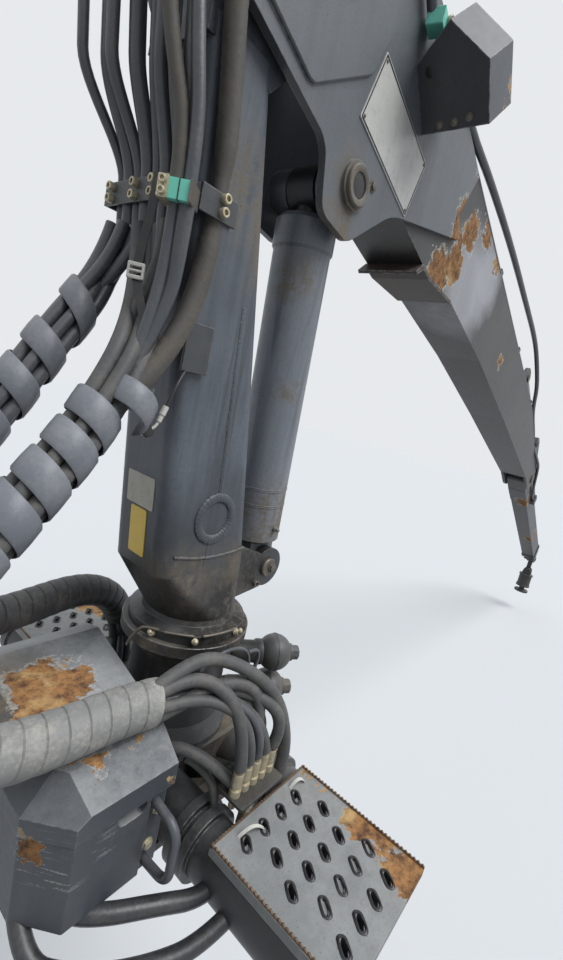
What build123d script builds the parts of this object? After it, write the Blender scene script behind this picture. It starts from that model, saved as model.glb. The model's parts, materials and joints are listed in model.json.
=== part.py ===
"""Loading crane of a forestry forwarder: base, pillar, main boom, outer boom and rotator.

Millimetres. The origin is on the slewing axis, in the plane on which the base is bolted.
+X points along the parked boom, +Z up, and -Y is the side with the sign plate.
"""
import os
from math import cos, hypot, radians, sin

from build123d import *

os.makedirs("parts", exist_ok=True)

# Base: plate, rack housing and column
plate_x, plate_y, plate_t = 540, 460, 25
bolt_x, bolt_y, bolt_d = 470, 390, 26
rack_x, rack_y, rack_h = 420, 340, 150
tube_r, tube_x, tube_half = 70, 130, 690
collar_r, collar_t, cap_t = 86, 24, 34
column_r, flange_r, flange_t = 138, 180, 30
flange_top = 500
tube_z = plate_t + tube_r
play = 0.3

# Step plates over the slewing tubes
step_x, step_y, step_t, step_rim = 345, 360, 5, 24
step_centre_x, step_inner_y = -23, 405
step_top = 196

# Pillar: a foot on the flange, a tapered shaft that leans back, and a head
foot_r, foot_z, shaft_z = 128, 548, 690
shaft_depth, shaft_width, shaft_x = 296, 212, -60
top_depth, top_width, top_x, top_z = 168, 190, -222, 1800
head_r, head_width = 118, 180

# Pins, from the slewing axis and the mounting plane
pivot_x, pivot_z, pivot_pin_r = -20, 2050, 45
lift_foot_x, lift_foot_z, lift_pin_r = 225, 640, 30

# Main boom, measured along and across its own axis through the pivot
boom_angle = -16.8
boom_half, boom_wall, boom_top = 110, 12, 324
root_plate_t, doubler_t = 20, 8
lift_pin_u, lift_pin_v = 271, -271
knuckle_u, knuckle_v, knuckle_pin_r, ear_r = 4200, 50, 40, 108
jib_pin_u, jib_pin_v, jib_pin_r = 2900, 462, 27
box_start, box_setback, slope_lead, end_top, end_bottom = 330, 270, 250, 190, -20
box_end, slope_start = knuckle_u - box_setback, jib_pin_u + slope_lead
lane_slope = (end_top - boom_top) / (box_end - slope_start)

# Outer boom and its two extensions, measured from the knuckle pin
outer_angle = -25
outer_half, outer_depth, outer_wall, outer_start = 75, 190, 8, 150
first_half, first_depth, first_wall, first_start = 61, 160, 7, 420
second_half, second_depth, second_start = 48, 132, 560
horn_r, horn_angle = 340, 130
tip_pin_w, tip_pin_r, fork_depth = 3110, 25, 150
tip_reach, second_mouth, first_mouth = 70, 160, 180
second_end = tip_pin_w - tip_reach
first_end = second_end - second_mouth
outer_end = first_end - first_mouth

# Cylinders
lift_bore_r, lift_barrel_r, lift_rod_r, lift_barrel_end, lift_dead = 66, 80, 35, 1002, 140
jib_bore_r, jib_barrel_r, jib_rod_r, jib_barrel_end, jib_dead = 47, 58, 27, 905, 120
rod_play, bottom_room = 0.4, 42
pin_play = 0.5

# Rotator under the tip
link_length, cross_pin_r, rotator_r, rotator_h, shaft_r = 190, 22, 92, 150, 36

boom_c, boom_s = cos(radians(boom_angle)), sin(radians(boom_angle))
outer_c, outer_s = cos(radians(outer_angle)), sin(radians(outer_angle))


def on_boom(u, v):
    """A point given along and across the main boom, in the shared frame's X and Z."""
    return pivot_x + u * boom_c - v * boom_s, pivot_z + u * boom_s + v * boom_c


def on_outer(w, t):
    """A point given along and across the outer boom, in the shared frame's X and Z."""
    x, z = on_boom(knuckle_u, knuckle_v)
    return x + w * outer_c - t * outer_s, z + w * outer_s + t * outer_c


def side_plane(x, z, c=1.0, s=0.0, y=0.0):
    """A plane that faces -Y, with its own x axis turned in the XZ plane."""
    return Plane(origin=(x, y, z), x_dir=(c, 0, s), z_dir=(0, -1, 0))


def save(piece, name):
    """Labels a finished piece and writes its STEP file."""
    piece.part.label = name
    export_step(piece.part, f"parts/{name}.step")


boom_plane = side_plane(pivot_x, pivot_z, boom_c, boom_s)
knuckle_x, knuckle_z = on_boom(knuckle_u, knuckle_v)
outer_plane = side_plane(knuckle_x, knuckle_z, outer_c, outer_s)
lift_pin_x, lift_pin_z = on_boom(lift_pin_u, lift_pin_v)
jib_pin_x, jib_pin_z = on_boom(jib_pin_u, jib_pin_v)
horn_x, horn_z = on_outer(horn_r * cos(radians(horn_angle)), horn_r * sin(radians(horn_angle)))

# %% Base plate
with BuildPart() as base_plate:
    with BuildSketch():
        RectangleRounded(plate_x, plate_y, 30)
        with GridLocations(bolt_x, bolt_y, 2, 2):
            Circle(bolt_d / 2, mode=Mode.SUBTRACT)
    extrude(amount=plate_t)
save(base_plate, "base_plate")

# %% Rack housing with the two cross bores for the slewing tubes
rack_top = plate_t + rack_h
with BuildPart() as rack_housing:
    with BuildSketch(Plane.XY.offset(plate_t)):
        RectangleRounded(rack_x, rack_y, 24)
    extrude(amount=rack_h)
    chamfer(rack_housing.edges().group_by(Axis.Z)[-1], 7)
    with BuildSketch(Plane.XZ.offset(-rack_y)):
        with Locations((-tube_x, tube_z), (tube_x, tube_z)):
            Circle(tube_r)
            Rectangle(tube_r, tube_r + 5, align=(Align.CENTER, Align.MAX))
    extrude(amount=2 * rack_y, mode=Mode.SUBTRACT)
save(rack_housing, "rack_housing")

# %% Column with its flange, and ribs under the flange
with BuildPart() as slew_column:
    with BuildSketch(Plane.XZ):
        with BuildLine():
            Polyline((0, rack_top), (168, rack_top), (168, rack_top + 18), (column_r + 8, rack_top + 60),
                     (column_r, rack_top + 120), (column_r, flange_top - 70),
                     (flange_r, flange_top - flange_t), (flange_r, flange_top), (0, flange_top), close=True)
        make_face()
    revolve(axis=Axis.Z)
save(slew_column, "slew_column")

# %% Slewing tubes: one revolve along Y each, with bolted collars and end caps
for name, x in (("slew_tube_front", -tube_x), ("slew_tube_rear", tube_x)):
    with BuildPart() as slew_tube:
        with BuildSketch(Plane.YZ.offset(x)):
            with Locations((0, tube_z)):
                Rectangle(2 * tube_half, tube_r, align=(Align.CENTER, Align.MIN))
            for y in (-rack_y / 2 - 130, -rack_y / 2 - 172, rack_y / 2 + 130, rack_y / 2 + 172):
                with Locations((y, tube_z)):
                    Rectangle(collar_t, collar_r, align=(Align.CENTER, Align.MIN))
            for y in (-tube_half, tube_half):
                with Locations((y, tube_z)):
                    Rectangle(cap_t, tube_r + 6, align=(Align.CENTER, Align.MIN))
        revolve(axis=Axis((x, 0, tube_z), (0, 1, 0)))
    save(slew_tube, name)

# %% Step plates with turned down rims, on two cross bars that sit on the tubes
for side, name in ((-1, "near"), (1, "far")):
    step_y_mid = side * (step_inner_y + step_y / 2)
    with BuildPart() as step_plate:
        with BuildSketch(Plane.XY.offset(step_top - step_rim)):
            with Locations((step_centre_x, step_y_mid)):
                Rectangle(step_x, step_y)
        extrude(amount=step_rim)
        with BuildSketch(Plane.XY.offset(step_top - step_rim)):
            with Locations((step_centre_x, step_y_mid)):
                Rectangle(step_x - 2 * step_t, step_y - 2 * step_t)
        extrude(amount=step_rim - step_t, mode=Mode.SUBTRACT)
        with BuildSketch(Plane.XY.offset(step_top - step_t)):
            for row in range(5):
                with Locations((step_centre_x + 30 * (row % 2) - 15, step_y_mid - 130 + 65 * row)):
                    with GridLocations(62, 62, 4, 1):
                        SlotOverall(34, 14, rotation=35)
        extrude(amount=step_t, mode=Mode.SUBTRACT)
        with BuildSketch(Plane.XY.offset(tube_z + tube_r - 14)):
            with Locations((step_centre_x, side * (step_inner_y + 70)), (step_centre_x, side * (step_inner_y + 235))):
                Rectangle(step_x - 2 * step_t - 30, 40)
        extrude(amount=step_top - step_t - (tube_z + tube_r - 14) + 1)
        with BuildSketch(Plane.XZ.offset(-side * (step_inner_y + 180))):
            with Locations((-tube_x, tube_z), (tube_x, tube_z)):
                Circle(tube_r)
        extrude(amount=200, both=True, mode=Mode.SUBTRACT)
    save(step_plate, f"step_plate_{name}")

# %% Valve housing in front of the column, on a shelf that is bolted to the base plate
valve_x0, valve_x1, valve_y0, valve_y1 = -530, -218, -316, 240
valve_bottom, valve_top, lid_gap, lid_top, lid_over = 126, 328, 5, 418, 7
shelf_t = 22

with BuildPart() as valve_shelf:
    with BuildSketch(Plane.XY.offset(plate_t)):
        with BuildLine():
            Polyline((-rack_x / 2 - 4, -170), (-rack_x / 2 - 4, 170), (-400, 170), (-500, 110), (-500, -170),
                     (-460, -210), (-300, -210), close=True)
        make_face()
    extrude(amount=shelf_t)
    with BuildSketch(Plane.XY.offset(plate_t + shelf_t)):
        with Locations((-450, -100), (-450, 60), (-290, -100), (-290, 60)):
            Circle(18)
    extrude(amount=valve_bottom - plate_t - shelf_t)
save(valve_shelf, "valve_shelf")

with BuildPart() as valve_housing:
    with BuildSketch(Plane.XY.offset(valve_bottom)) as valve_outline:
        with BuildLine():
            Polyline((valve_x1 - 46, valve_y0), (valve_x0 + 60, valve_y0), (valve_x0, valve_y0 + 84),
                     (valve_x0, valve_y1), (valve_x1, valve_y1), (valve_x1, valve_y0 + 156), close=True)
        make_face()
    extrude(amount=valve_top - valve_bottom)
    fillet(valve_housing.edges().filter_by(Axis.Z), 6)
    with BuildSketch(Plane.XZ.offset(-valve_y0)):
        with Locations((-350, valve_top - 12)):
            SlotOverall(66, 36)
    extrude(amount=-40, mode=Mode.SUBTRACT)
    with BuildSketch(Plane.XZ.offset(-valve_y0)):
        with Locations((-308, valve_bottom)):
            Rectangle(60, valve_top - valve_bottom, align=Align.MIN)
    extrude(amount=-8, mode=Mode.SUBTRACT)
    with BuildSketch(Plane.XY.offset(valve_top)):
        add(valve_outline.sketch.moved(Location((0, 0, -valve_bottom))))
        offset(amount=-14, kind=Kind.INTERSECTION)
    extrude(amount=lid_gap)
save(valve_housing, "valve_housing")

# Each slope of the lid: a point of its lower edge, the way in from there, its rise and its run
lid_x, lid_near, lid_far = valve_x0 - lid_over, valve_y0 - lid_over, valve_y1 + lid_over
lid_slopes = (((-360, lid_near, 385), (0, 1), 33, 80), ((-474, lid_near, 371), (0.797, 0.605), 47, 63),
              ((lid_x, 0, 371), (1, 0), 47, 63), ((-360, lid_far, 385), (0, -1), 33, 80))
with BuildPart() as valve_lid:
    with BuildSketch(Plane.XY.offset(valve_top + lid_gap)):
        with BuildLine():
            Polyline((-257, lid_near), (lid_x + 63, lid_near), (lid_x, lid_near + 83), (lid_x, lid_far),
                     (-157, lid_far), close=True)
        make_face()
    extrude(amount=lid_top - valve_top - lid_gap)
    for edge_point, (way_x, way_y), rise, run in lid_slopes:
        slope = Plane(origin=edge_point, z_dir=(-way_x * rise, -way_y * rise, run))
        split(bisect_by=slope, keep=Keep.BOTTOM)
save(valve_lid, "valve_lid")

grip_x, grip_y = -290, valve_y0 - 72
with BuildPart() as valve_handle:
    with BuildLine() as handle_path:
        FilletPolyline((grip_x, valve_y0 + 18, 300), (grip_x, grip_y, 290), (grip_x, grip_y, 156),
                       (grip_x, valve_y0 + 18, 146), radius=36)
    with BuildSketch(handle_path.line ^ 0):
        Circle(10)
    sweep()
    add(valve_housing.part, mode=Mode.SUBTRACT)
save(valve_handle, "valve_handle")

# %% Bracket with the bulkhead fittings of the slewing hoses
fitting_x, fitting_y, fitting_z, fitting_gap = -40, -372, 240, 30
fitting_xs = [fitting_x + fitting_gap * (i - 2) for i in range(5)]
with BuildPart() as fitting_bracket:
    with BuildSketch(Plane.YZ.offset(-56)):
        with BuildLine():
            Polyline((-rack_y / 2, 108), (-rack_y / 2, rack_top - 12), (fitting_y + 36, fitting_z),
                     (fitting_y + 36, fitting_z - 8), (-rack_y / 2 - 14, 108), close=True)
        make_face()
    extrude(amount=38)
    with BuildSketch(Plane.XY.offset(fitting_z - 8)):
        with Locations((fitting_x, fitting_y)):
            RectangleRounded(154, 84, 8)
        with Locations([(x, fitting_y) for x in fitting_xs]):
            Circle(9, mode=Mode.SUBTRACT)
    extrude(amount=8)
save(fitting_bracket, "fitting_bracket")

with BuildPart() as hose_fittings:
    for x in fitting_xs:
        with BuildSketch(Plane.XZ.offset(-fitting_y)):
            with BuildLine():
                Polyline((x, fitting_z - 34), (x + 9, fitting_z - 34), (x + 9, fitting_z), (x + 14, fitting_z),
                         (x + 14, fitting_z + 18), (x + 10, fitting_z + 18), (x + 10, fitting_z + 26),
                         (x + 13, fitting_z + 26), (x + 13, fitting_z + 62), (x, fitting_z + 62), close=True)
            make_face()
        revolve(axis=Axis((x, fitting_y, 0), (0, 0, 1)))
save(hose_fittings, "hose_fittings")

# %% Supply block on the far side of the rack housing, where the second hose loop ends
supply_y, supply_top = 285, 190
with BuildPart() as supply_block:
    with BuildSketch(Plane.YZ):
        with BuildLine():
            Polyline((rack_y / 2, 60), (rack_y / 2, rack_top - 12), (supply_y - 50, supply_top),
                     (supply_y + 50, supply_top), (supply_y + 50, 96), (supply_y - 10, 60), close=True)
        make_face()
    extrude(amount=37, both=True)
save(supply_block, "supply_block")

# %% Two accumulators on the rear of the column, turned towards the near side
bulb_x, bulb_r, bulb_turn = 297, 56, 34
bulb_c, bulb_s = cos(radians(bulb_turn)), sin(radians(bulb_turn))
with BuildPart() as accumulators:
    for z in (382, 258):
        with BuildSketch(Plane(origin=(0, 0, z), x_dir=(bulb_c, -bulb_s, 0), z_dir=(-bulb_s, -bulb_c, 0))):
            with BuildLine():
                Polyline((bulb_x - bulb_r * 0.9, 24), (90, 26), (90, 0), (bulb_x + bulb_r + 18, 0),
                         (bulb_x + bulb_r + 18, 19), (bulb_x + bulb_r * 0.9, 21))
                ThreePointArc((bulb_x + bulb_r * 0.9, 21), (bulb_x, bulb_r), (bulb_x - bulb_r * 0.9, 24))
            make_face()
        revolve(axis=Axis((0, 0, z), (bulb_c, -bulb_s, 0)))
    add(slew_column.part, mode=Mode.SUBTRACT)
save(accumulators, "accumulators")

# %% Pillar: foot ring, foot that grows from round to square, leaning shaft, and the head for the pivot
with BuildPart() as pillar:
    with BuildSketch(Plane.XZ):
        with BuildLine():
            Polyline((0, flange_top + play), (164, flange_top + play), (164, flange_top + 24),
                     (foot_r + 6, flange_top + 34), (foot_r, foot_z), (0, foot_z), close=True)
        make_face()
    revolve(axis=Axis.Z)
    with BuildSketch(Plane.XY.offset(foot_z)):
        RectangleRounded(2 * foot_r, 2 * foot_r, foot_r - 2)
    with BuildSketch(Plane((shaft_x, 0, shaft_z))):
        RectangleRounded(shaft_depth, shaft_width, 40)
    loft()
    with BuildSketch(Plane((shaft_x, 0, shaft_z))):
        RectangleRounded(shaft_depth, shaft_width, 40)
    with BuildSketch(Plane((top_x, 0, top_z))):
        RectangleRounded(top_depth, top_width, 30)
    loft()
    with BuildSketch(Plane.XZ):
        with BuildLine():
            Polyline((top_x - top_depth / 2 - 3, top_z - 40), (top_x + top_depth / 2 + 5, top_z - 40),
                     (pivot_x + 20, pivot_z - head_r - 10), (pivot_x + 20, pivot_z + head_r - 10),
                     (top_x - 70, pivot_z + 20), close=True)
        make_face()
        with Locations((pivot_x, pivot_z)):
            Circle(head_r)
    extrude(amount=head_width / 2, both=True)
    with BuildSketch(Plane.XZ):
        with Locations((pivot_x, pivot_z)):
            Circle(pivot_pin_r + pin_play)
    extrude(amount=head_width, both=True, mode=Mode.SUBTRACT)
save(pillar, "pillar")

# %% Ears for the lift cylinder's foot, cast on the rear of the pillar's foot
ear_in, ear_out = 52, 80
with BuildPart() as lift_foot:
    with BuildSketch(Plane.XZ):
        with BuildLine():
            Polyline((60, 560), (lift_foot_x - 20, lift_foot_z - 62), (lift_foot_x - 40, lift_foot_z + 50),
                     (60, 735), close=True)
        make_face()
        with Locations((lift_foot_x, lift_foot_z)):
            Circle(62)
            Circle(lift_pin_r, mode=Mode.SUBTRACT)
    extrude(amount=ear_out, both=True)
    with BuildSketch(Plane.XZ):
        with Locations((lift_foot_x, lift_foot_z)):
            Rectangle(2 * 92, 400)
    extrude(amount=ear_in, both=True, mode=Mode.SUBTRACT)
    add(pillar.part, mode=Mode.SUBTRACT)
save(lift_foot, "lift_foot")

for name, x, z, r, reach in (("lift_foot_pin", lift_foot_x, lift_foot_z, lift_pin_r, ear_out + 10),
                             ("pivot_pin", pivot_x, pivot_z, pivot_pin_r, boom_half + root_plate_t + 14)):
    with BuildPart() as pin:
        with BuildSketch(Plane.XZ):
            with Locations((x, z)):
                Circle(r)
        extrude(amount=reach, both=True)
        chamfer(pin.edges().filter_by(GeomType.CIRCLE), 3)
    save(pin, name)

# %% Sign plates on the pillar's front face, left bare
def front_x(z):
    """Where the pillar's front face is at a height."""
    share = (z - shaft_z) / (top_z - shaft_z)
    low, high = shaft_x - shaft_depth / 2, top_x - top_depth / 2
    return low + share * (high - low)


lean = (front_x(top_z) - front_x(shaft_z)) / (top_z - shaft_z)
for name, z, high, wide in (("data_plate", 884, 78, 104), ("notice_plate", 780, 120, 62)):
    with BuildPart() as sign:
        with BuildSketch(Plane(origin=(front_x(z), 0, z), x_dir=(0, -1, 0), z_dir=(-1, 0, lean))):
            RectangleRounded(wide, high, 5)
        extrude(amount=2)
    save(sign, name)

# %% Hoses on the pillar: a flat pack held against the shaft by a bent bar; Blender shows the single hoses
bar_z, bar_high, bar_t, hose_r, hose_off = 1500, 44, 5, 13, 28
hose_count, hose_gap, hose_y0 = 8, 30.5, -100
pack_wide = hose_gap * (hose_count - 1) + 2 * hose_r
pack_y = hose_y0 + hose_gap * (hose_count - 1) / 2
pack_lean, pack_low, pack_high = -56 / 550, bar_z - 60, 1990
hose_x = front_x(bar_z) - hose_off
pack_foot = Vector(hose_x - (pack_low - bar_z) * -pack_lean, pack_y, pack_low)
pack_head = Vector(hose_x + (pack_high - bar_z) * pack_lean, pack_y, pack_high)
with BuildPart() as pillar_hoses:
    with BuildLine() as pack_path:
        Polyline(pack_foot, pack_head)
    with BuildSketch(pack_path.line ^ 0):
        RectangleRounded(2 * hose_r, pack_wide, hose_r - 1)
    sweep()
save(pillar_hoses, "pillar_hoses")

bar_front, bar_side, bar_end_y = hose_x - hose_r - bar_t / 2, 101, 147
with BuildPart() as hose_bar:
    with BuildSketch(Plane.XY.offset(bar_z - bar_high / 2)):
        with BuildLine():
            Polyline((-185, -bar_side), (-286, -bar_side), (bar_front, -122), (bar_front, bar_end_y),
                     (-292, bar_end_y), (-246, bar_side), (-190, bar_side))
        trace(line_width=bar_t)
    extrude(amount=bar_high)
    add(pillar_hoses.part, mode=Mode.SUBTRACT)
    add(pillar.part, mode=Mode.SUBTRACT)
save(hose_bar, "hose_bar")

# Clamp block at the bar's near corner, turned to face the two hoses that run outside it
clamp_x, clamp_y, clamp_top, clamp_turn = -342, -127, 1490, -55
clamp_wide, clamp_deep, clamp_high = 56, 44, 34
with BuildPart() as hose_clamps:
    with BuildSketch(Plane.XY.offset(clamp_top - clamp_high)):
        with Locations((clamp_x, clamp_y)):
            Rectangle(clamp_wide, clamp_deep, rotation=clamp_turn)
    extrude(amount=clamp_high)
    add(hose_bar.part, mode=Mode.SUBTRACT)
save(hose_clamps, "hose_clamps")

# %% Lift cylinder
def cylinder_pair(foot, eye, barrel_name, rod_name, bore_r, barrel_r, rod_r, end, dead, eye_r, eye_half, pin_r):
    """A barrel with its foot eye and gland, and a rod with its piston and open eye."""
    reach = hypot(eye[0] - foot[0], eye[1] - foot[1])
    c, s = (eye[0] - foot[0]) / reach, (eye[1] - foot[1]) / reach
    plane = side_plane(foot[0], foot[1], c, s)
    axis = Axis((foot[0], 0, foot[1]), (c, 0, s))
    with BuildPart() as barrel:
        with BuildSketch(plane):
            with BuildLine():
                Polyline((eye_r + 12, 0), (eye_r + 12, barrel_r * 0.72), (eye_r + 26, barrel_r),
                         (end - 88, barrel_r), (end - 80, barrel_r + 5), (end - 14, barrel_r + 5),
                         (end, barrel_r - 8), (end, rod_r + rod_play), (end - 70, rod_r + rod_play),
                         (end - 70, bore_r), (dead - bottom_room, bore_r), (dead - bottom_room, 0), close=True)
            make_face()
        revolve(axis=axis)
        with BuildSketch(plane):
            Circle(eye_r)
            with Locations((eye_r / 2 + 8, 0)):
                Rectangle(eye_r + 16, barrel_r * 1.3)
        extrude(amount=eye_half, both=True)
        with BuildSketch(plane):
            Circle(pin_r + pin_play)
        extrude(amount=2 * barrel_r, both=True, mode=Mode.SUBTRACT)
    save(barrel, barrel_name)
    with BuildPart() as rod:
        with BuildSketch(plane):
            with BuildLine():
                Polyline((dead, 0), (dead, bore_r - rod_play), (dead + 56, bore_r - rod_play),
                         (dead + 56, rod_r), (reach - eye_r + 12, rod_r), (reach - eye_r + 12, 0), close=True)
            make_face()
        revolve(axis=axis)
        with BuildSketch(plane):
            with Locations((reach, 0)):
                Circle(eye_r)
        extrude(amount=eye_half, both=True)
        with BuildSketch(plane):
            with Locations((reach, 0)):
                Circle(pin_r + pin_play)
        extrude(amount=2 * barrel_r, both=True, mode=Mode.SUBTRACT)
    save(rod, rod_name)


cylinder_pair((lift_foot_x, lift_foot_z), (lift_pin_x, lift_pin_z), "lift_barrel", "lift_rod",
              lift_bore_r, lift_barrel_r, lift_rod_r, lift_barrel_end, lift_dead, 58, 44, lift_pin_r)
cylinder_pair((jib_pin_x, jib_pin_z), (horn_x, horn_z), "jib_barrel", "jib_rod",
              jib_bore_r, jib_barrel_r, jib_rod_r, jib_barrel_end, jib_dead, 46, 30, jib_pin_r)

# %% Ears for the jib cylinder, on top of the main boom
jib_ear_in, jib_ear_out = 36, 60
with BuildPart() as jib_ears:
    with BuildSketch(boom_plane):
        with BuildLine():
            FilletPolyline((jib_pin_u - 210, boom_top), (jib_pin_u - 62, jib_pin_v + 58),
                           (jib_pin_u + 50, jib_pin_v + 58), (jib_pin_u + 50, boom_top),
                           radius=(60, 50), close=False)
            Line((jib_pin_u + 50, boom_top), (jib_pin_u - 210, boom_top))
        make_face()
    extrude(amount=jib_ear_out, both=True)
    with BuildSketch(boom_plane):
        with Locations((jib_pin_u, jib_pin_v)):
            Rectangle(500, 2 * 60)
        with Locations((jib_pin_u, jib_pin_v - 100)):
            Rectangle(500, 80)
    extrude(amount=jib_ear_in, both=True, mode=Mode.SUBTRACT)
    with BuildSketch(boom_plane):
        with Locations((jib_pin_u, jib_pin_v)):
            Circle(jib_pin_r)
    extrude(amount=boom_half, both=True, mode=Mode.SUBTRACT)

# %% Knuckle ears: plates inside the end of the box, rounded about the pin
with BuildPart() as knuckle_ears:
    with BuildSketch(boom_plane):
        with BuildLine():
            FilletPolyline((box_end, end_bottom), (knuckle_u - 40, knuckle_v - ear_r),
                           (knuckle_u + ear_r, knuckle_v - ear_r), (knuckle_u + ear_r, knuckle_v + ear_r),
                           (knuckle_u - 60, knuckle_v + ear_r), (box_end, end_top),
                           radius=(60, ear_r - 1, ear_r - 1, 60), close=False)
            Line((box_end, end_top), (box_end, end_bottom))
        make_face()
        with Locations((knuckle_u, knuckle_v)):
            Circle(knuckle_pin_r, mode=Mode.SUBTRACT)
    extrude(amount=boom_half, both=True)
    with BuildSketch(boom_plane):
        with Locations((knuckle_u, knuckle_v)):
            Rectangle(1000, 600)
    extrude(amount=boom_half - 22, both=True, mode=Mode.SUBTRACT)


# %% Main boom box: deeper at its root, straight, then sloping to the knuckle
with BuildPart() as main_boom:
    with BuildSketch(boom_plane):
        with BuildLine() as boom_line:
            Polyline((box_start, boom_top), (slope_start, boom_top), (box_end, end_top), (box_end, end_bottom),
                     (2500, -24), (1660, -38), (1080, -74), (840, -130), (520, -136), (box_start + 60, end_bottom),
                     close=True)
        make_face()
        offset(amount=-10)
        offset(amount=10)
    extrude(amount=boom_half, both=True)
    with BuildSketch(boom_plane):
        with BuildLine():
            Polyline((box_start + 40, boom_top - boom_wall), (slope_start - 2, boom_top - boom_wall),
                     (box_end + 20, end_top - 18), (box_end + 20, end_bottom + boom_wall), (2500, -24 + boom_wall),
                     (1660, -38 + boom_wall), (1080, -74 + boom_wall), (840, -130 + boom_wall),
                     (530, -136 + boom_wall), (box_start + 90, 0), close=True)
        make_face()
    extrude(amount=boom_half - boom_wall, both=True, mode=Mode.SUBTRACT)
    add(jib_ears.part)
    add(knuckle_ears.part)
save(main_boom, "main_boom")

# %% Root plates: the big cheeks that carry the pivot and the lift pin, with a fish tail on the box
root_outline = ((-236, -276), (130, -280), (200, -400), (330, -385), (470, -190), (921, 72),
                (844, 117), (878, 300), (420, boom_top - 4), (60, 300), (-236, 170))
root_radii = (70, 60, 45, 50, 260, 8, 6, 8, 80, 120, 120)
doubler_outline = ((-236, -240), (25, -248), (176, -60), (186, 60), (90, 260), (-236, 170))
doubler_radii = (60, 34, 60, 60, 90, 120)
boss_r, boss_in = 56, 50
for side, name in ((-1, "near"), (1, "far")):
    outer_y = side * (boom_half + root_plate_t)
    with BuildPart() as root_doubler:
        with BuildSketch(side_plane(pivot_x, pivot_z, boom_c, boom_s, outer_y)):
            with BuildLine():
                FilletPolyline(*doubler_outline, radius=doubler_radii, close=True)
            make_face()
        extrude(amount=-side * doubler_t)
        chamfer(root_doubler.faces().sort_by(Axis.Y)[0 if side < 0 else -1].outer_wire().edges(), 3)
    with BuildPart() as root_plate:
        with BuildSketch(side_plane(pivot_x, pivot_z, boom_c, boom_s, side * boom_half)):
            with BuildLine():
                FilletPolyline(*root_outline, radius=root_radii, close=True)
            make_face()
        extrude(amount=-side * root_plate_t)
        add(root_doubler.part)
        with BuildSketch(side_plane(pivot_x, pivot_z, boom_c, boom_s, side * boss_in)):
            with Locations((lift_pin_u, lift_pin_v)):
                Circle(boss_r)
        extrude(amount=-side * (boom_half + root_plate_t + 10 - boss_in))
        with BuildSketch(boom_plane):
            with Locations((lift_pin_u, lift_pin_v)):
                Circle(lift_pin_r)
            Circle(pivot_pin_r)
        extrude(amount=2 * boom_half, both=True, mode=Mode.SUBTRACT)
    save(root_plate, f"root_plate_{name}")

with BuildPart() as lift_pins:
    for side in (-1, 1):
        with BuildSketch(side_plane(pivot_x, pivot_z, boom_c, boom_s, side * (boss_in + 6))):
            with Locations((lift_pin_u, lift_pin_v)):
                Circle(lift_pin_r)
                Circle(lift_pin_r - 13, mode=Mode.SUBTRACT)
        extrude(amount=-side * (boom_half + root_plate_t + 14 - boss_in - 6))
save(lift_pins, "lift_pins")

# %% Rub plate under the root, its front edge curled down
with BuildPart() as rub_plate:
    with BuildSketch(boom_plane):
        with BuildLine():
            Polyline((1080, -74), (840, -130), (770, -131.3), (740, -178), (752, -184), (786, -143),
                     (842, -142), (1080, -86), close=True)
        make_face()
    extrude(amount=boom_half + 6, both=True)
    add(main_boom.part, mode=Mode.SUBTRACT)
save(rub_plate, "rub_plate")

# %% Sign plate along the near root plate, left bare
sign_u, sign_v, sign_long, sign_high = 360, -62, 335, 176
with BuildPart() as boom_sign:
    with BuildSketch(side_plane(pivot_x, pivot_z, boom_c, boom_s, -boom_half - root_plate_t)):
        with Locations((sign_u, sign_v)):
            RectangleRounded(sign_long, sign_high, 4)
    extrude(amount=3)
save(boom_sign, "boom_sign")

# %% Guard hood on the near root plate: a gabled section, pushed up and to the rear
hood_x, hood_z, hood_w, hood_wall, hood_gable, hood_long, hood_tilt = 430, 1970, 190, 133, 226, 150, 46
hood_c, hood_s = cos(radians(hood_tilt)), sin(radians(hood_tilt))
with BuildPart() as guard_hood:
    with BuildSketch(Plane(origin=(hood_x, -boom_half - root_plate_t, hood_z), x_dir=(0, -1, 0),
                           z_dir=(-hood_c, 0, -hood_s))):
        with BuildLine():
            Polyline((0, 0), (hood_w, 0), (hood_w, hood_wall), (hood_w / 2, hood_gable), (0, 158), close=True)
        make_face()
    extrude(amount=-hood_long)
    add(boom_sign.part, mode=Mode.SUBTRACT)
save(guard_hood, "guard_hood")

# %% Pins of the jib cylinder's foot and of the knuckle
for name, plane, u, v, r, reach in (("jib_pin", boom_plane, jib_pin_u, jib_pin_v, jib_pin_r, jib_ear_out + 8),
                                    ("knuckle_pin", boom_plane, knuckle_u, knuckle_v, knuckle_pin_r,
                                     boom_half + 12)):
    with BuildPart() as pin:
        with BuildSketch(plane):
            with Locations((u, v)):
                Circle(r)
        extrude(amount=reach, both=True)
    save(pin, name)

# %% Mouths of the telescope: a collar on the tube and a wear ring that guides the next one
slide_play, ring_t = 0.3, 14


def mouth_collar(half, depth, wall, end, length, next_half, next_depth):
    """The collar with its wear ring at the end of one boom tube."""
    with BuildPart() as collar:
        with BuildSketch(outer_plane):
            with Locations((end + ring_t, 0)):
                Rectangle(length + ring_t, depth + 2 * wall, align=(Align.MAX, Align.CENTER))
        extrude(amount=half + wall, both=True)
        fillet(collar.edges().filter_by(lambda e: abs(e.length - length - ring_t) < 0.01), 8)
        with BuildSketch(outer_plane):
            with Locations((end, 0)):
                Rectangle(2 * length, depth, align=(Align.MAX, Align.CENTER))
        extrude(amount=half, both=True, mode=Mode.SUBTRACT)
        with BuildSketch(outer_plane):
            with Locations((end, 0)):
                Rectangle(4 * ring_t, next_depth + 2 * slide_play)
        extrude(amount=next_half + slide_play, both=True, mode=Mode.SUBTRACT)
    return collar.part


outer_collar = mouth_collar(outer_half, outer_depth, 10, outer_end, 84, first_half, first_depth)
first_collar = mouth_collar(first_half, first_depth, 8, first_end, 56, second_half, second_depth)

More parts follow.
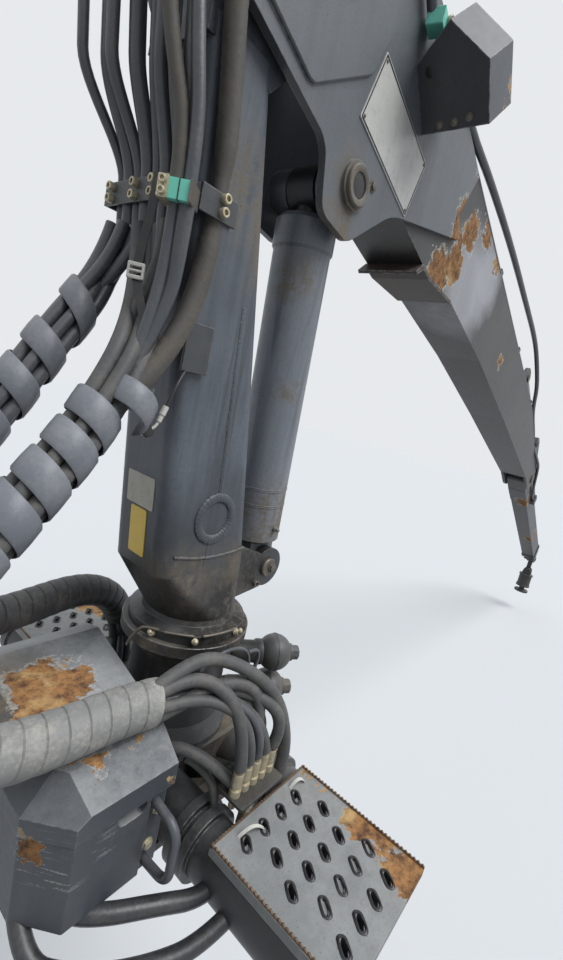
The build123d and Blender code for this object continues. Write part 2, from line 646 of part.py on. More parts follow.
# %% Outer boom: root cheeks with the horn for the jib rod, and the square tube
cheek_in, cheek_out, horn_slot = 36, 80, 165
horn_u, horn_v = horn_r * cos(radians(horn_angle)), horn_r * sin(radians(horn_angle))
with BuildPart() as outer_boom:
    with BuildSketch(outer_plane):
        with Locations(((outer_start + outer_end) / 2, 0)):
            Rectangle(outer_end - outer_start, outer_depth)
    extrude(amount=outer_half, both=True)
    with BuildSketch(outer_plane):
        with BuildLine():
            FilletPolyline((-82, -82), (outer_start + 40, -outer_depth / 2), (460, -outer_depth / 2),
                           (460, outer_depth / 2), (horn_u + 50, horn_v + 52), (horn_u - 52, horn_v + 52),
                           (horn_u - 52, horn_v - 30), (-82, 40),
                           radius=(20, 4, 4, 50, 51, 30, 30, 80), close=True)
        make_face()
    extrude(amount=cheek_out, both=True)
    with BuildSketch(outer_plane):
        with Locations((horn_u, horn_v)):
            Rectangle(2 * 160, 2 * horn_slot, rotation=horn_angle - 90)
    extrude(amount=cheek_in, both=True, mode=Mode.SUBTRACT)
    with BuildSketch(outer_plane):
        with Locations(((outer_start + outer_end) / 2 + 60, 0)):
            Rectangle(outer_end - outer_start, outer_depth - 2 * outer_wall)
    extrude(amount=outer_half - outer_wall, both=True, mode=Mode.SUBTRACT)
    with BuildSketch(outer_plane):
        Circle(knuckle_pin_r + pin_play)
        with Locations((horn_u, horn_v)):
            Circle(jib_pin_r)
    extrude(amount=2 * outer_half, both=True, mode=Mode.SUBTRACT)
    add(outer_collar)
save(outer_boom, "outer_boom")

with BuildPart() as horn_pins:
    for side in (-1, 1):
        with BuildSketch(side_plane(knuckle_x, knuckle_z, outer_c, outer_s, side * cheek_in)):
            with Locations((horn_u, horn_v)):
                Circle(jib_pin_r)
        extrude(amount=-side * (cheek_out + 8 - cheek_in))
save(horn_pins, "horn_pins")

with BuildPart() as first_extension:
    with BuildSketch(outer_plane):
        with Locations((first_start, 0)):
            Rectangle(first_end - first_start, first_depth, align=(Align.MIN, Align.CENTER))
    extrude(amount=first_half, both=True)
    fillet(first_extension.edges().filter_by(lambda e: abs(e.length - (first_end - first_start)) < 0.01), 6)
    with BuildSketch(outer_plane):
        with Locations((first_start + 40, 0)):
            Rectangle(first_end, first_depth - 2 * first_wall, align=(Align.MIN, Align.CENTER))
    extrude(amount=first_half - first_wall, both=True, mode=Mode.SUBTRACT)
    add(first_collar)
save(first_extension, "first_extension")

with BuildPart() as second_extension:
    with BuildSketch(outer_plane):
        with Locations(((second_start + second_end) / 2, 0)):
            Rectangle(second_end - second_start, second_depth)
    extrude(amount=second_half, both=True)
    fillet(second_extension.edges().filter_by(lambda e: abs(e.length - (second_end - second_start)) < 0.01), 8)
    with BuildSketch(outer_plane):
        with BuildLine():
            FilletPolyline((second_end - 80, -second_depth / 2), (tip_pin_w + 48, -48), (tip_pin_w + 48, 48),
                           (second_end - 80, second_depth / 2), radius=(46, 46), close=False)
            Line((second_end - 80, second_depth / 2), (second_end - 80, -second_depth / 2))
        make_face()
    extrude(amount=second_half, both=True)
    with BuildSketch(outer_plane):
        with Locations((tip_pin_w - fork_depth, 0)):
            Rectangle(2 * fork_depth, 2 * second_depth, align=(Align.MIN, Align.CENTER))
    extrude(amount=second_half - 18, both=True, mode=Mode.SUBTRACT)
    with BuildSketch(outer_plane):
        with Locations((tip_pin_w, 0)):
            Circle(tip_pin_r)
    extrude(amount=2 * second_half, both=True, mode=Mode.SUBTRACT)
save(second_extension, "second_extension")

with BuildPart() as tip_pin:
    with BuildSketch(outer_plane):
        with Locations((tip_pin_w, 0)):
            Circle(tip_pin_r)
    extrude(amount=second_half + 10, both=True)
save(tip_pin, "tip_pin")

# %% Link under the tip, then the rotator with its flanged shaft
tip_x, tip_z = on_outer(tip_pin_w, 0)
cross_z = tip_z - link_length
rotor_top = cross_z - 62
with BuildPart() as tip_link:
    with BuildSketch(Plane((tip_x, 0, tip_z), x_dir=(1, 0, 0), z_dir=(0, -1, 0))):
        Circle(42)
        with Locations((0, -link_length / 2 + 8)):
            Rectangle(60, link_length - 50)
        with Locations((0, -link_length)):
            Circle(36)
    extrude(amount=27, both=True)
    with BuildSketch(Plane.XZ):
        with Locations((tip_x, tip_z)):
            Circle(tip_pin_r + pin_play)
    extrude(amount=60, both=True, mode=Mode.SUBTRACT)
    with BuildSketch(Plane.YZ.offset(tip_x)):
        with Locations((0, cross_z)):
            Circle(cross_pin_r)
    extrude(amount=74, both=True)
save(tip_link, "tip_link")

with BuildPart() as rotator:
    with BuildSketch(Plane.YZ.offset(tip_x)):
        with BuildLine():
            FilletPolyline((-60, rotor_top - 20), (-44, cross_z + 40), (44, cross_z + 40), (60, rotor_top - 20),
                           radius=(38, 38), close=False)
            Line((60, rotor_top - 20), (-60, rotor_top - 20))
        make_face()
        with Locations((0, cross_z)):
            Circle(cross_pin_r + pin_play, mode=Mode.SUBTRACT)
    extrude(amount=64, both=True)
    with BuildSketch(Plane.YZ.offset(tip_x)):
        with Locations((0, cross_z - 4)):
            Rectangle(300, 100)
    extrude(amount=38, both=True, mode=Mode.SUBTRACT)
    with BuildSketch(Plane.XY.offset(rotor_top - 20)):
        with Locations((tip_x, 0)):
            Circle(rotator_r)
    extrude(amount=20)
    with BuildSketch(Plane.XY.offset(rotor_top - 20)):
        with Locations((tip_x, 0)):
            Circle(rotator_r - 8)
    extrude(amount=-rotator_h)
    with BuildSketch(Plane.XY.offset(rotor_top - 20 - rotator_h)):
        with Locations((tip_x, 0)):
            Circle(rotator_r)
    extrude(amount=-22)
save(rotator, "rotator")

shaft_top = rotor_top - 20 - rotator_h - 22 - play
flange_hole_d, flange_bolt_r = 18, 66.5
with BuildPart() as rotator_flange:
    with BuildSketch(Plane.XY.offset(shaft_top)):
        with Locations((tip_x, 0)):
            Circle(shaft_r)
    extrude(amount=-60)
    with BuildSketch(Plane.XY.offset(shaft_top - 60)):
        with Locations((tip_x, 0)):
            Circle(rotator_r)
            with PolarLocations(flange_bolt_r, 6):
                Circle(flange_hole_d / 2, mode=Mode.SUBTRACT)
    extrude(amount=-25)
save(rotator_flange, "rotator_flange")

# %% Hoses that hang or lie between bodies, plain tubes and flat packs that Blender replaces
def hose(name, points, radii, section_w, section_h):
    """A hose or a flat pack of hoses along straight runs with rounded corners."""
    with BuildPart() as piece:
        with BuildLine() as route:
            FilletPolyline(*points, radius=radii)
        with BuildSketch(route.line ^ 0):
            if section_h:
                RectangleRounded(section_w, section_h, min(section_w, section_h) / 2 - 1)
            else:
                Circle(section_w / 2)
        sweep()
    save(piece, name)


loop_d = 80
hose("hose_loop_low", ((-318, -60, 1437), (-312, -66, 1318), (-415, -120, 1080), (-585, -160, 880),
                       (-790, -190, 640), (-640, -205, 482), (-190, -228, 482), (fitting_x, fitting_y, 430),
                       (fitting_x, fitting_y, fitting_z + 72)),
     (190, 400, 600, 113, 220, 150, 66), loop_d, 0)
hose("hose_loop_high", ((-318, 75, 1437), (-340, 75, 1330), (-432, 62, 1200), (-520, 48, 1050), (-660, 30, 850),
                        (-790, 40, 660), (-600, 130, 520), (0, supply_y, 520), (0, supply_y, supply_top)),
     (200, 500, 500, 400, 122, 300, 149), loop_d, 0)

# Hoses over the boom's root, along its top, and past the knuckle into ports on the outer boom
lane_r, lane_v = 11, boom_top + 12.5
pack_turn = pack_head + Vector(pack_lean, 0, 1) * 450
over = [on_boom(u, v) for u, v in ((-71, 511), (300, boom_top + hose_r + 0.5), (560, boom_top + hose_r + 0.5))]
hose("root_hoses", (pack_head, pack_turn, *((x, pack_y, z) for x, z in over)), (170, 200, 250), 2 * hose_r, 200)

lane_end_u = box_end - 180
lane_end_v = lane_v + lane_slope * (lane_end_u - slope_start - 2)
with BuildPart() as boom_hoses:
    for y in (-98, -74, 74, 98):
        with BuildLine() as lane:
            lane_points = [on_boom(u, v) for u, v in ((560, lane_v), (slope_start + 2, lane_v), (lane_end_u, lane_end_v))]
            FilletPolyline(*((x, y, z) for x, z in lane_points), radius=(400,))
        with BuildSketch(lane.line ^ 0):
            Circle(lane_r)
        sweep()
save(boom_hoses, "boom_hoses")

with BuildPart() as boom_hose_clamps:
    for u in (720, 1500, 2250, jib_pin_u + 150):
        with BuildSketch(boom_plane):
            with Locations((u, boom_top)):
                Rectangle(36, 30, align=(Align.CENTER, Align.MIN))
        extrude(amount=boom_half, both=True)
    add(boom_hoses.part, mode=Mode.SUBTRACT)
save(boom_hose_clamps, "boom_hose_clamps")

port_w, port_ts = 600, (50, 16)
with BuildPart() as knuckle_hoses:
    for side in (-1, 1):
        for t, y_start, y_past in zip(port_ts, (74, 98), (98, 122)):
            bend = [(*on_boom(lane_end_u, lane_end_v), y_start),
                    (*on_boom(lane_end_u + 50, lane_end_v + 50 * lane_slope), y_start),
                    (*on_boom(lane_end_u + 190, lane_end_v + 190 * lane_slope), y_past),
                    (*on_boom(knuckle_u + 10, 196), y_past), (*on_outer(400, t), 98), (*on_outer(port_w, t), 98)]
            with BuildLine() as bend_path:
                FilletPolyline(*((x, side * y, z) for x, z, y in bend), radius=(120, 120, 300, 250))
            with BuildSketch(bend_path.line ^ 0):
                Circle(lane_r)
            sweep()
save(knuckle_hoses, "knuckle_hoses")

with BuildPart() as hose_ports:
    for side in (-1, 1):
        with BuildSketch(side_plane(knuckle_x, knuckle_z, outer_c, outer_s, side * outer_half)):
            with Locations((port_w, 33)):
                Rectangle(90, 84, align=(Align.MIN, Align.CENTER))
        extrude(amount=-side * 40)
save(hose_ports, "hose_ports")
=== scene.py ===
# %% [markdown]
# # A forwarder's loading crane
# The crane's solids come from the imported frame: every tube, plate, pin and cylinder is already at its
# real size and place. What is missing is what the eye reads as age and use: single hoses instead of plain
# packs, weld beads, bolts, guards, worn paint, grease and rust. The lesson adds those in that order.

# %% Load the frame
import json

import bpy
import numpy as np
from mathutils import Matrix, Vector

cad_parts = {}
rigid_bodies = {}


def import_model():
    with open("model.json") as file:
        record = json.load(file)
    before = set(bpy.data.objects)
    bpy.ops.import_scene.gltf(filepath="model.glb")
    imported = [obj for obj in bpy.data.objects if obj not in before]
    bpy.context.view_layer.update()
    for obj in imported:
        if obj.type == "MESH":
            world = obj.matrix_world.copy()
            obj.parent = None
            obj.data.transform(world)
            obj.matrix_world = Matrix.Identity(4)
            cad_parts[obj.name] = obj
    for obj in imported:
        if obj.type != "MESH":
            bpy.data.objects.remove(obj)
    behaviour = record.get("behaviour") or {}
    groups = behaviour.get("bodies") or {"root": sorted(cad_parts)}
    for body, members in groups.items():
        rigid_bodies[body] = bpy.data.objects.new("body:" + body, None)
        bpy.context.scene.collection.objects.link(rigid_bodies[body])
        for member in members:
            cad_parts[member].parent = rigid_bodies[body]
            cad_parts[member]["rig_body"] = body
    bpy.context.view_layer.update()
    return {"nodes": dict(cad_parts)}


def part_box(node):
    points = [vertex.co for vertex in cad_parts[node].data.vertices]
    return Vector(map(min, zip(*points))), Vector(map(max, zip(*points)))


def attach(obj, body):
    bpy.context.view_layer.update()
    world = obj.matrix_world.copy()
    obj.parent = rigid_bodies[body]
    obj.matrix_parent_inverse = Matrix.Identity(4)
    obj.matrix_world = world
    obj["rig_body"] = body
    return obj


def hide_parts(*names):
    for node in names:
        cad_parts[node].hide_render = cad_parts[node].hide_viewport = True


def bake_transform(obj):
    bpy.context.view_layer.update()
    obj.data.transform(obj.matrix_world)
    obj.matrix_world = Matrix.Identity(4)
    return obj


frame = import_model()
nodes = frame["nodes"]

# %% [markdown]
# ## Camera, light and floor
# The photographer stood close, on the machine's left, with a very wide lens, and rolled the camera a
# little. A camera could be aimed with a constraint, but the roll matters here, so its three axes are
# written straight into its matrix. The light is an open sky: a pale world, a wide sun from the near side,
# and a faint one from the far side, so that faces towards the machine's front stay almost black.

# %% Camera
LENS = 17.14
EYE = Vector((-0.868, -0.884, 1.179))
LOOK_RIGHT = Vector((0.6194, -0.7553, 0.2141))
LOOK_DOWN = Vector((-0.0149, -0.284, -0.9587))
LOOK_AHEAD = Vector((0.7849, 0.5906, -0.1872))

camera = bpy.data.objects.new("camera", bpy.data.cameras.new("camera"))
bpy.context.scene.collection.objects.link(camera)
turned_axes = Matrix((LOOK_RIGHT, -LOOK_DOWN, -LOOK_AHEAD)).transposed().to_4x4()
camera.matrix_world = Matrix.Translation(EYE) @ turned_axes
camera.data.lens = LENS
camera.data.sensor_width = 36
camera.data.clip_start = 0.02
bpy.context.scene.camera = camera

# %% Light
scene = bpy.context.scene
scene.view_settings.view_transform = "Standard"
SUN_AIM = Vector((0, 0, 1))
for name, strength, place, angle in (("sky_key", 2.5, (0.7, -2.4, 5.0), 0.7),
        ("sky_fill", 0.35, (-3.0, 1.5, 5.0), 1.2)):
    sun = bpy.data.lights.new(name, "SUN")
    sun.energy, sun.angle = strength, angle
    lamp = bpy.data.objects.new(name, sun)
    scene.collection.objects.link(lamp)
    lamp.location = place
    lamp.rotation_euler = (SUN_AIM - Vector(place)).to_track_quat("-Z", "Y").to_euler()

# %% Floor
FLOOR_Z, FLOOR_REACH = -1.25, 30.0
CORNERS = ((-1, -1), (1, -1), (1, 1), (-1, 1))
floor_mesh = bpy.data.meshes.new("floor")
floor_mesh.from_pydata([(x * FLOOR_REACH, y * FLOOR_REACH, FLOOR_Z) for x, y in CORNERS], [], [(0, 1, 2, 3)])
floor = bpy.data.objects.new("floor", floor_mesh)
scene.collection.objects.link(floor)

# %% [markdown]
# ## Shader maths in plain Python
# Worn paint is a sum of masks: dust in the low places, streaks that run down, chips along the edges. In
# the node editor that is a large web. Here a small class wraps a socket, so that `grime * 0.5 + chips`
# adds the Math nodes by itself, and every other node comes from one method.

# %% Socket and Finish
class Socket:
    """A node's output that can be added, multiplied and compared like a number."""

    def __init__(self, finish, output):
        self.finish, self.output = finish, output

    def math(self, operation, first, second):
        return self.finish.node("ShaderNodeMath", {0: first, 1: second}, operation=operation)

    def __add__(self, other):
        return self.math("ADD", self, other)

    def __mul__(self, other):
        return self.math("MULTIPLY", self, other)

    def __sub__(self, other):
        return self.math("SUBTRACT", self, other)

    def __rsub__(self, other):
        return self.math("SUBTRACT", other, self)

    __radd__, __rmul__ = __add__, __mul__

    def above(self, low, high):
        """0 below low, 1 above high, and a straight ramp between them."""
        return self.finish.node("ShaderNodeMapRange", {0: self, 1: low, 2: high, 3: 0.0, 4: 1.0}, clamp=True)

    def most(self, other):
        return self.math("MAXIMUM", self, other)


class Finish:
    """A material, or a world, under construction: node() adds a node, and close() joins it to the surface."""

    def __init__(self, name, owner=None):
        self.material = owner or bpy.data.materials.new(name)
        self.material.use_nodes = True
        self.tree = self.material.node_tree
        self.tree.nodes.clear()
        self.place = self.node("ShaderNodeTexCoord", out="Object")

    def node(self, kind, sockets=None, out=0, **settings):
        """Adds a node, its settings before its sockets' values or links, and returns one of its outputs."""
        made = self.tree.nodes.new(kind)
        for key, value in settings.items():
            setattr(made, key, value)
        for key, value in (sockets or {}).items():
            if isinstance(value, Socket):
                self.tree.links.new(value.output, made.inputs[key])
            else:
                made.inputs[key].default_value = value
        return Socket(self, made.outputs[out])

    def noise(self, scale, detail=4.0, rough=0.6, stretch=(1, 1, 1)):
        """Cloudy noise in the object's own metres. scale is cells per metre, stretched along each axis."""
        spread = self.node("ShaderNodeMapping", {"Vector": self.place, "Scale": stretch})
        return self.node("ShaderNodeTexNoise",
            {"Vector": spread, "Scale": scale, "Detail": detail, "Roughness": rough})

    def axis(self, vector, k):
        """One of a vector's three numbers: 0 is x, 1 is y, 2 is z."""
        return self.node("ShaderNodeSeparateXYZ", {0: vector}, out=k)

    def away(self, point):
        """The distance from a point."""
        return self.node("ShaderNodeVectorMath", {0: self.place, 1: point}, "Value", operation="DISTANCE")

    def near(self, point, reach, ragged=0.0, scale=30.0):
        """1 at a point and 0 beyond reach, with an edge roughened by noise."""
        away = self.away(point)
        if ragged:
            away = away + (self.noise(scale, rough=0.55) - 0.5) * ragged
        return 1 - away.above(reach * 0.45, reach)

    def edges(self, radius):
        """1 along sharp edges: how far a normal rounded over radius turns from the true one."""
        rounded = self.node("ShaderNodeBevel", {"Radius": radius}, samples=4)
        true = self.node("ShaderNodeNewGeometry", out="Normal")
        same = self.node("ShaderNodeVectorMath", {0: rounded, 1: true}, "Value", operation="DOT_PRODUCT")
        return (1 - same).above(0.015, 0.16)

    def seen(self):
        """1 for what the eye sees, directly, mirrored or through glass, and 0 for what only lights."""
        rays = [self.node("ShaderNodeLightPath", out="Is %s Ray" % kind)
            for kind in ("Camera", "Glossy", "Transmission")]
        return rays[0].most(rays[1]).most(rays[2])

    def mix(self, share, first, second):
        """A colour between first and second."""
        first, second = ((*c, 1) if isinstance(c, tuple) else c for c in (first, second))
        return self.node("ShaderNodeMix", {0: share, 6: first, 7: second}, out=2, data_type="RGBA")

    def close(self, color, rough, height=None, depth=0.002, metal=0.0, round_to=0.0):
        """Joins colour, roughness and height to the surface shader."""
        sockets = {"Base Color": (*color, 1) if isinstance(color, tuple) else color, "Roughness": rough,
            "Metallic": metal}
        normal = None
        if round_to:
            normal = self.node("ShaderNodeBevel", {"Radius": round_to}, samples=4)
        if height is not None:
            bump = {"Height": height, "Strength": 1.0, "Distance": depth}
            if normal is not None:
                bump["Normal"] = normal
            normal = self.node("ShaderNodeBump", bump)
        if normal is not None:
            sockets["Normal"] = normal
        surface = self.node("ShaderNodeBsdfPrincipled", sockets)
        end = self.tree.nodes.new("ShaderNodeOutputMaterial")
        self.tree.links.new(surface.output, end.inputs["Surface"])
        return self.material


# %% [markdown]
# ## The sky and the floor's finish
# The world lights most from overhead and least from the machine's front, and looks pale itself. The floor
# looks pale too, but throws little light back up, as the ground under the machine does. Light Path tells
# what is seen from what only lights.

# %% Sky and floor
def sky_level(f, k, low, high, least):
    """A ramp along axis k of the view direction, from least at low to 1 at high."""
    way = f.node("ShaderNodeTexCoord", out="Generated")
    return f.node("ShaderNodeMapRange", {0: f.axis(way, k), 1: low, 2: high, 3: least, 4: 1.0})


sky = Finish("sky", bpy.data.worlds.new("sky"))
scene.world = sky.material
level = sky_level(sky, 2, -0.1, 0.8, 0.22) * sky_level(sky, 0, -0.8, 0.1, 0.42) * 0.95
light = sky.node("ShaderNodeBackground", {"Color": (0.88, 0.94, 1.0, 1), "Strength": level})
shown = sky.node("ShaderNodeBackground", {"Color": (0.8, 0.82, 0.84, 1)})
both = sky.node("ShaderNodeMixShader", {0: sky.seen(), 1: light, 2: shown})
sky.tree.links.new(both.output, sky.tree.nodes.new("ShaderNodeOutputWorld").inputs["Surface"])

pale = Finish("floor_pale")
floor.data.materials.append(pale.close(pale.mix(pale.seen(), (0.14, 0.14, 0.14), (0.56, 0.57, 0.585)), 0.9))

# %% [markdown]
# ## Finishes
# The crane is charcoal paint that has faded to blue-grey where it is rubbed. Grease and dust gather low
# down and round the pins, in brown and tan. Faces that look down and the pillar's lower part are also
# darkened as painted shade. Faces towards the machine's front get no dust, as painted shade, and the dust
# on upward faces is also a painted top light. One function makes all the paints from the same masks, with
# a colour, an amount of dirt and a list of rust patches of its own.

# %% Paint
# The first colour is grease's, and it is also the painted shade under faces that look down.
GREASE_AND_SHADE = (0.016, 0.014, 0.012)
TAN_DIRT = (0.165, 0.135, 0.095)
DUST = (0.255, 0.265, 0.27)
RUST_BROWN = (0.085, 0.04, 0.022)
RUST_OCHRE = (0.34, 0.17, 0.062)
RUST_YELLOW = (0.46, 0.3, 0.13)
PRIMER, WORN_PRIMER = (0.5, 0.5, 0.46), (0.42, 0.43, 0.47)
BARE_STEEL = (0.36, 0.36, 0.36)


def rust(f, shade, spots, grain, fine, flakes=0.75):
    """Patches of rust with crisp, ragged edges: a rim of pale primer, and three tones of rust inside."""
    rough_edge = (f.noise(15.0, 5.0, 0.62) - 0.5) * 0.2 + (f.noise(70.0, 3.0) - 0.5) * 0.05
    bare = rim = None
    for *point, reach in spots:
        away = f.away(point) + rough_edge
        here = 1 - away.above(reach * 0.8, reach * 0.86)
        ring = 1 - away.above(reach * 0.97, reach * 1.01)
        bare = here if bare is None else bare.most(here)
        rim = ring if rim is None else rim.most(ring)
    bare = bare * fine.above(0.2, 0.36)
    tone = f.mix(f.noise(36.0, 6.0, 0.68).above(0.36, 0.58), RUST_BROWN, RUST_OCHRE)
    tone = f.mix(f.noise(14.0, 5.0, 0.62).above(0.5, 0.64), tone, RUST_YELLOW)
    tone = f.mix(fine.above(0.56, 0.7) * 0.7, tone, RUST_BROWN)
    shade = f.mix(rim * grain.above(0.46, 0.52) * flakes, shade, PRIMER)
    return f.mix(bare, shade, tone), bare


def paint(name, color, dirt=0.5, streaks=0.4, chips=0.4, shine=0.42, grease_spots=(), dirt_spots=(),
        rust_spots=(), scuff_spots=(), pale=1.35, edge=0.004, dust=0.35, low=None, flakes=0.75,
        dust_tone=DUST, bare_spots=()):
    """Worn paint: faded clouds, streaks, dust on top that is also painted top light, painted shade on
    faces that look down, dirt, chipped edges, scratches, then patches of rust.

    Spots are rows of (x, y, z, reach). bare_spots are pale patches where only primer is left. low is
    (z0, z1, share): below z0 the paint keeps only that share of its brightness, as painted shade."""
    f = Finish(name)
    clouds = f.noise(3.2, 5.0, 0.62)
    grain = f.noise(55.0, rough=0.7)
    specks = f.noise(260.0, 2.0)
    streaky = f.noise(19.0, rough=0.62, stretch=(1.0, 1.0, 0.07))
    turn = f.node("ShaderNodeNewGeometry", out="Normal")
    level = f.axis(turn, 2)
    # Faces towards the machine's front: this mask keeps dust off them, as painted shade.
    front_shade = (0 - f.axis(turn, 0)).above(0.15, 0.6)
    faded = tuple(min(1.0, c * pale) for c in color)
    dark = tuple(c * 0.52 for c in color)
    shade = f.mix((clouds * 0.5 + streaky * 0.5).above(0.42, 0.62), color, faded)
    shade = f.mix(streaky.above(0.5, 0.63) * streaks, shade, dark)
    # Painted shade: below z0 the paint keeps only a share of its brightness, standing in for weaker light low
    # down.
    if low:
        shade_height = f.axis(f.place, 2) + (clouds - 0.5) * 0.5
        shade = f.mix(1 - shade_height.above(low[0], low[1]), shade, tuple(c * low[2] for c in color))
    # Dust on upward faces, which is also a painted top light. Faces towards the front get none, as painted
    # shade.
    top_dust_and_light = level.above(0.15, 0.95) * (clouds * 0.75 + grain * 0.25).above(0.28, 0.6) * (1 - front_shade)
    shade = f.mix(top_dust_and_light * dust, shade, dust_tone)
    # Painted shade: faces that look down are darkened towards near-black by how they face.
    shade = f.mix((0 - level).above(0.1, 0.9) * 0.55, shade, GREASE_AND_SHADE)
    dusty = (clouds * 0.55 + grain * 0.45).above(0.47, 0.66) * dirt
    for *point, reach in dirt_spots:
        dusty = dusty.most(f.near(point, reach, 0.1, 22.0) * (grain * 0.5 + streaky * 0.5).above(0.38, 0.6))
    shade = f.mix(dusty, shade, TAN_DIRT)
    oily = specks.above(0.62, 0.7) * 0.5
    for *point, reach in grease_spots:
        oily = oily.most(f.near(point, reach, 0.09, 26.0) * grain.above(0.3, 0.5))
    shade = f.mix(oily, shade, GREASE_AND_SHADE)
    for *point, reach in bare_spots:
        shade = f.mix(f.near(point, reach, 0.12, 9.0) * (0.55 + clouds * 0.5), shade, WORN_PRIMER)
    worn = f.edges(edge) * grain.above(0.4, 0.56) * chips
    if scuff_spots:
        scratches = f.noise(34.0, 2.0, 0.5, stretch=(0.35, 0.35, 5.0)).above(0.6, 0.64)
        for *point, reach in scuff_spots:
            worn = worn.most(f.near(point, reach, 0.06, 20.0) * scratches * specks.above(0.4, 0.5) * 0.7)
    shade = f.mix(worn, shade, BARE_STEEL)
    rough = grain * 0.22 + shine + dusty * 0.3 - oily * 0.1
    height = grain * 0.35 + specks * 0.3 + dusty * 0.5
    if rust_spots:
        shade, rusty = rust(f, shade, rust_spots, grain, f.noise(120.0), flakes)
        rough = rough + rusty * 0.4
        height = height - rusty * 0.9 + grain * rusty * 1.4
    return f.close(shade, rough, height, depth=0.0009, metal=worn * 0.6, round_to=0.003)


# %% Rubber, guards, steel and signs
def rubber(name, color, dust=0.35, shine=0.4, dust_color=(0.2, 0.185, 0.16)):
    """Hose cover: near black, dusty in clouds, with fine scuffs."""
    f = Finish(name)
    clouds = f.noise(14.0)
    scuffs = f.noise(120.0, 3.0, 0.65)
    dusty = (clouds * 0.6 + scuffs * 0.4).above(0.46, 0.68) * dust
    shade = f.mix(dusty, color, dust_color)
    return f.close(shade, scuffs * 0.25 + shine + dusty * 0.3, scuffs + clouds * 0.5, depth=0.0005)


# Black for painted shade on a rod's eye.
EYE_SHADE_BLACK = (0.022, 0.022, 0.024)


def metal(name, color, rough=0.35, dirt=0.3, metalness=0.9, dirt_color=(0.11, 0.085, 0.06), shaded_eye=None):
    """Bare or plated metal with dirt in its clouds. Round a rod's eye, given as (x, y, z, reach), it is
    painted black as painted shade.
    """
    f = Finish(name)
    clouds = f.noise(26.0)
    fine = f.noise(240.0, 3.0)
    dirty = (clouds * 0.6 + fine * 0.4).above(0.46, 0.66) * dirt
    shade = f.mix(dirty, color, dirt_color)
    # Painted shade: round the eye the metal turns black, rough and not metallic.
    if shaded_eye:
        black = f.near(shaded_eye[:3], shaded_eye[3]).above(0.1, 0.3)
        shade = f.mix(black, shade, EYE_SHADE_BLACK)
        dirty = dirty.most(black)
    return f.close(shade, fine * 0.15 + rough + dirty * 0.35, fine, depth=0.0003,
        metal=(1 - dirty) * metalness, round_to=0.002)


def enamel(name, color, dirt=0.25, shine=0.3, dirt_color=(0.16, 0.13, 0.09)):
    """A smooth sign, block or cap with a little dirt."""
    f = Finish(name)
    clouds = f.noise(30.0, 5.0, 0.65)
    fine = f.noise(300.0, 2.0)
    dirty = (clouds * 0.6 + fine * 0.4).above(0.5, 0.68) * dirt
    return f.close(f.mix(dirty, color, dirt_color), dirty * 0.4 + shine, fine, depth=0.0002, round_to=0.0015)


# low=(0.74, 1.0, 0.48) darkens the pillar below 0.74 m as painted shade.
pillar_paint = paint("pillar_paint", (0.076, 0.088, 0.106), dirt=0.1, streaks=0.75, chips=0.5, shine=0.34,
    pale=1.9, low=(0.74, 1.0, 0.48),
    dirt_spots=((0.05, -0.12, 0.6, 0.2), (-0.16, -0.13, 0.64, 0.16), (-0.03, -0.1, 1.46, 0.12),
        (-0.12, -0.1, 1.56, 0.14)),
    grease_spots=((0.0, -0.13, 0.54, 0.17), (0.16, -0.1, 0.66, 0.12), (-0.2, 0.0, 0.6, 0.16)))
base_paint = paint("base_paint", (0.034, 0.035, 0.037), dirt=0.4, streaks=0.3, chips=0.35, dust=0.2,
    grease_spots=((0, 0, 0.4, 0.3), (-0.1, -0.25, 0.18, 0.25)),
    dirt_spots=((0, -0.2, 0.17, 0.3),))
lid_paint = paint("lid_paint", (0.044, 0.051, 0.061), dirt=0.16, streaks=0.25, chips=0.8, shine=0.36,
    pale=1.5, dust=0.92, dust_tone=(0.34, 0.35, 0.355), flakes=0.4,
    rust_spots=((-0.385, -0.005, 0.418, 0.112), (-0.452, -0.213, 0.404, 0.02), (-0.405, -0.245, 0.41, 0.03),
        (-0.275, -0.318, 0.338, 0.022), (-0.3, -0.235, 0.418, 0.022), (-0.53, -0.25, 0.3, 0.026)),
    scuff_spots=((-0.5, -0.28, 0.27, 0.1), (-0.42, -0.316, 0.28, 0.05), (-0.53, -0.05, 0.22, 0.14)),
    dirt_spots=((-0.45, 0.05, 0.41, 0.16),))
column_paint = paint("column_paint", (0.04, 0.041, 0.043), dirt=0.55, streaks=0.3, chips=1.0, shine=0.4,
    dust=0.3, edge=0.007,
    grease_spots=((-0.05, -0.17, 0.46, 0.14), (0.1, -0.14, 0.4, 0.18)),
    dirt_spots=((0.06, -0.15, 0.5, 0.12), (-0.15, -0.08, 0.5, 0.1)))
accumulator_paint = paint("accumulator_paint", (0.06, 0.06, 0.06), dirt=0.55, streaks=0.2, chips=0.6,
    shine=0.36, flakes=0.0,
    dirt_spots=((0.28, -0.2, 0.275, 0.04),))
rub_paint = paint("rub_paint", (0.05, 0.036, 0.03), dirt=0.25, streaks=0.5, chips=0.9, shine=0.5, pale=1.5,
    edge=0.01, flakes=0.1,
    rust_spots=((0.8, -0.125, 1.55, 0.045), (1.02, -0.12, 1.53, 0.05)))
tube_paint = paint("tube_paint", (0.026, 0.028, 0.031), dirt=0.3, streaks=0.1, chips=0.9, shine=0.3,
    dust=0.25)
step_paint = paint("step_paint", (0.185, 0.192, 0.192), dirt=0.45, streaks=0.1, chips=1.0, shine=0.4,
    pale=1.7, dust=0.6, flakes=0.15,
    rust_spots=((0.155, -0.62, 0.19, 0.085), (0.11, -0.76, 0.19, 0.075), (0.15, -0.44, 0.19, 0.03),
        (-0.19, -0.75, 0.18, 0.03), (0.14, 0.6, 0.19, 0.12)))
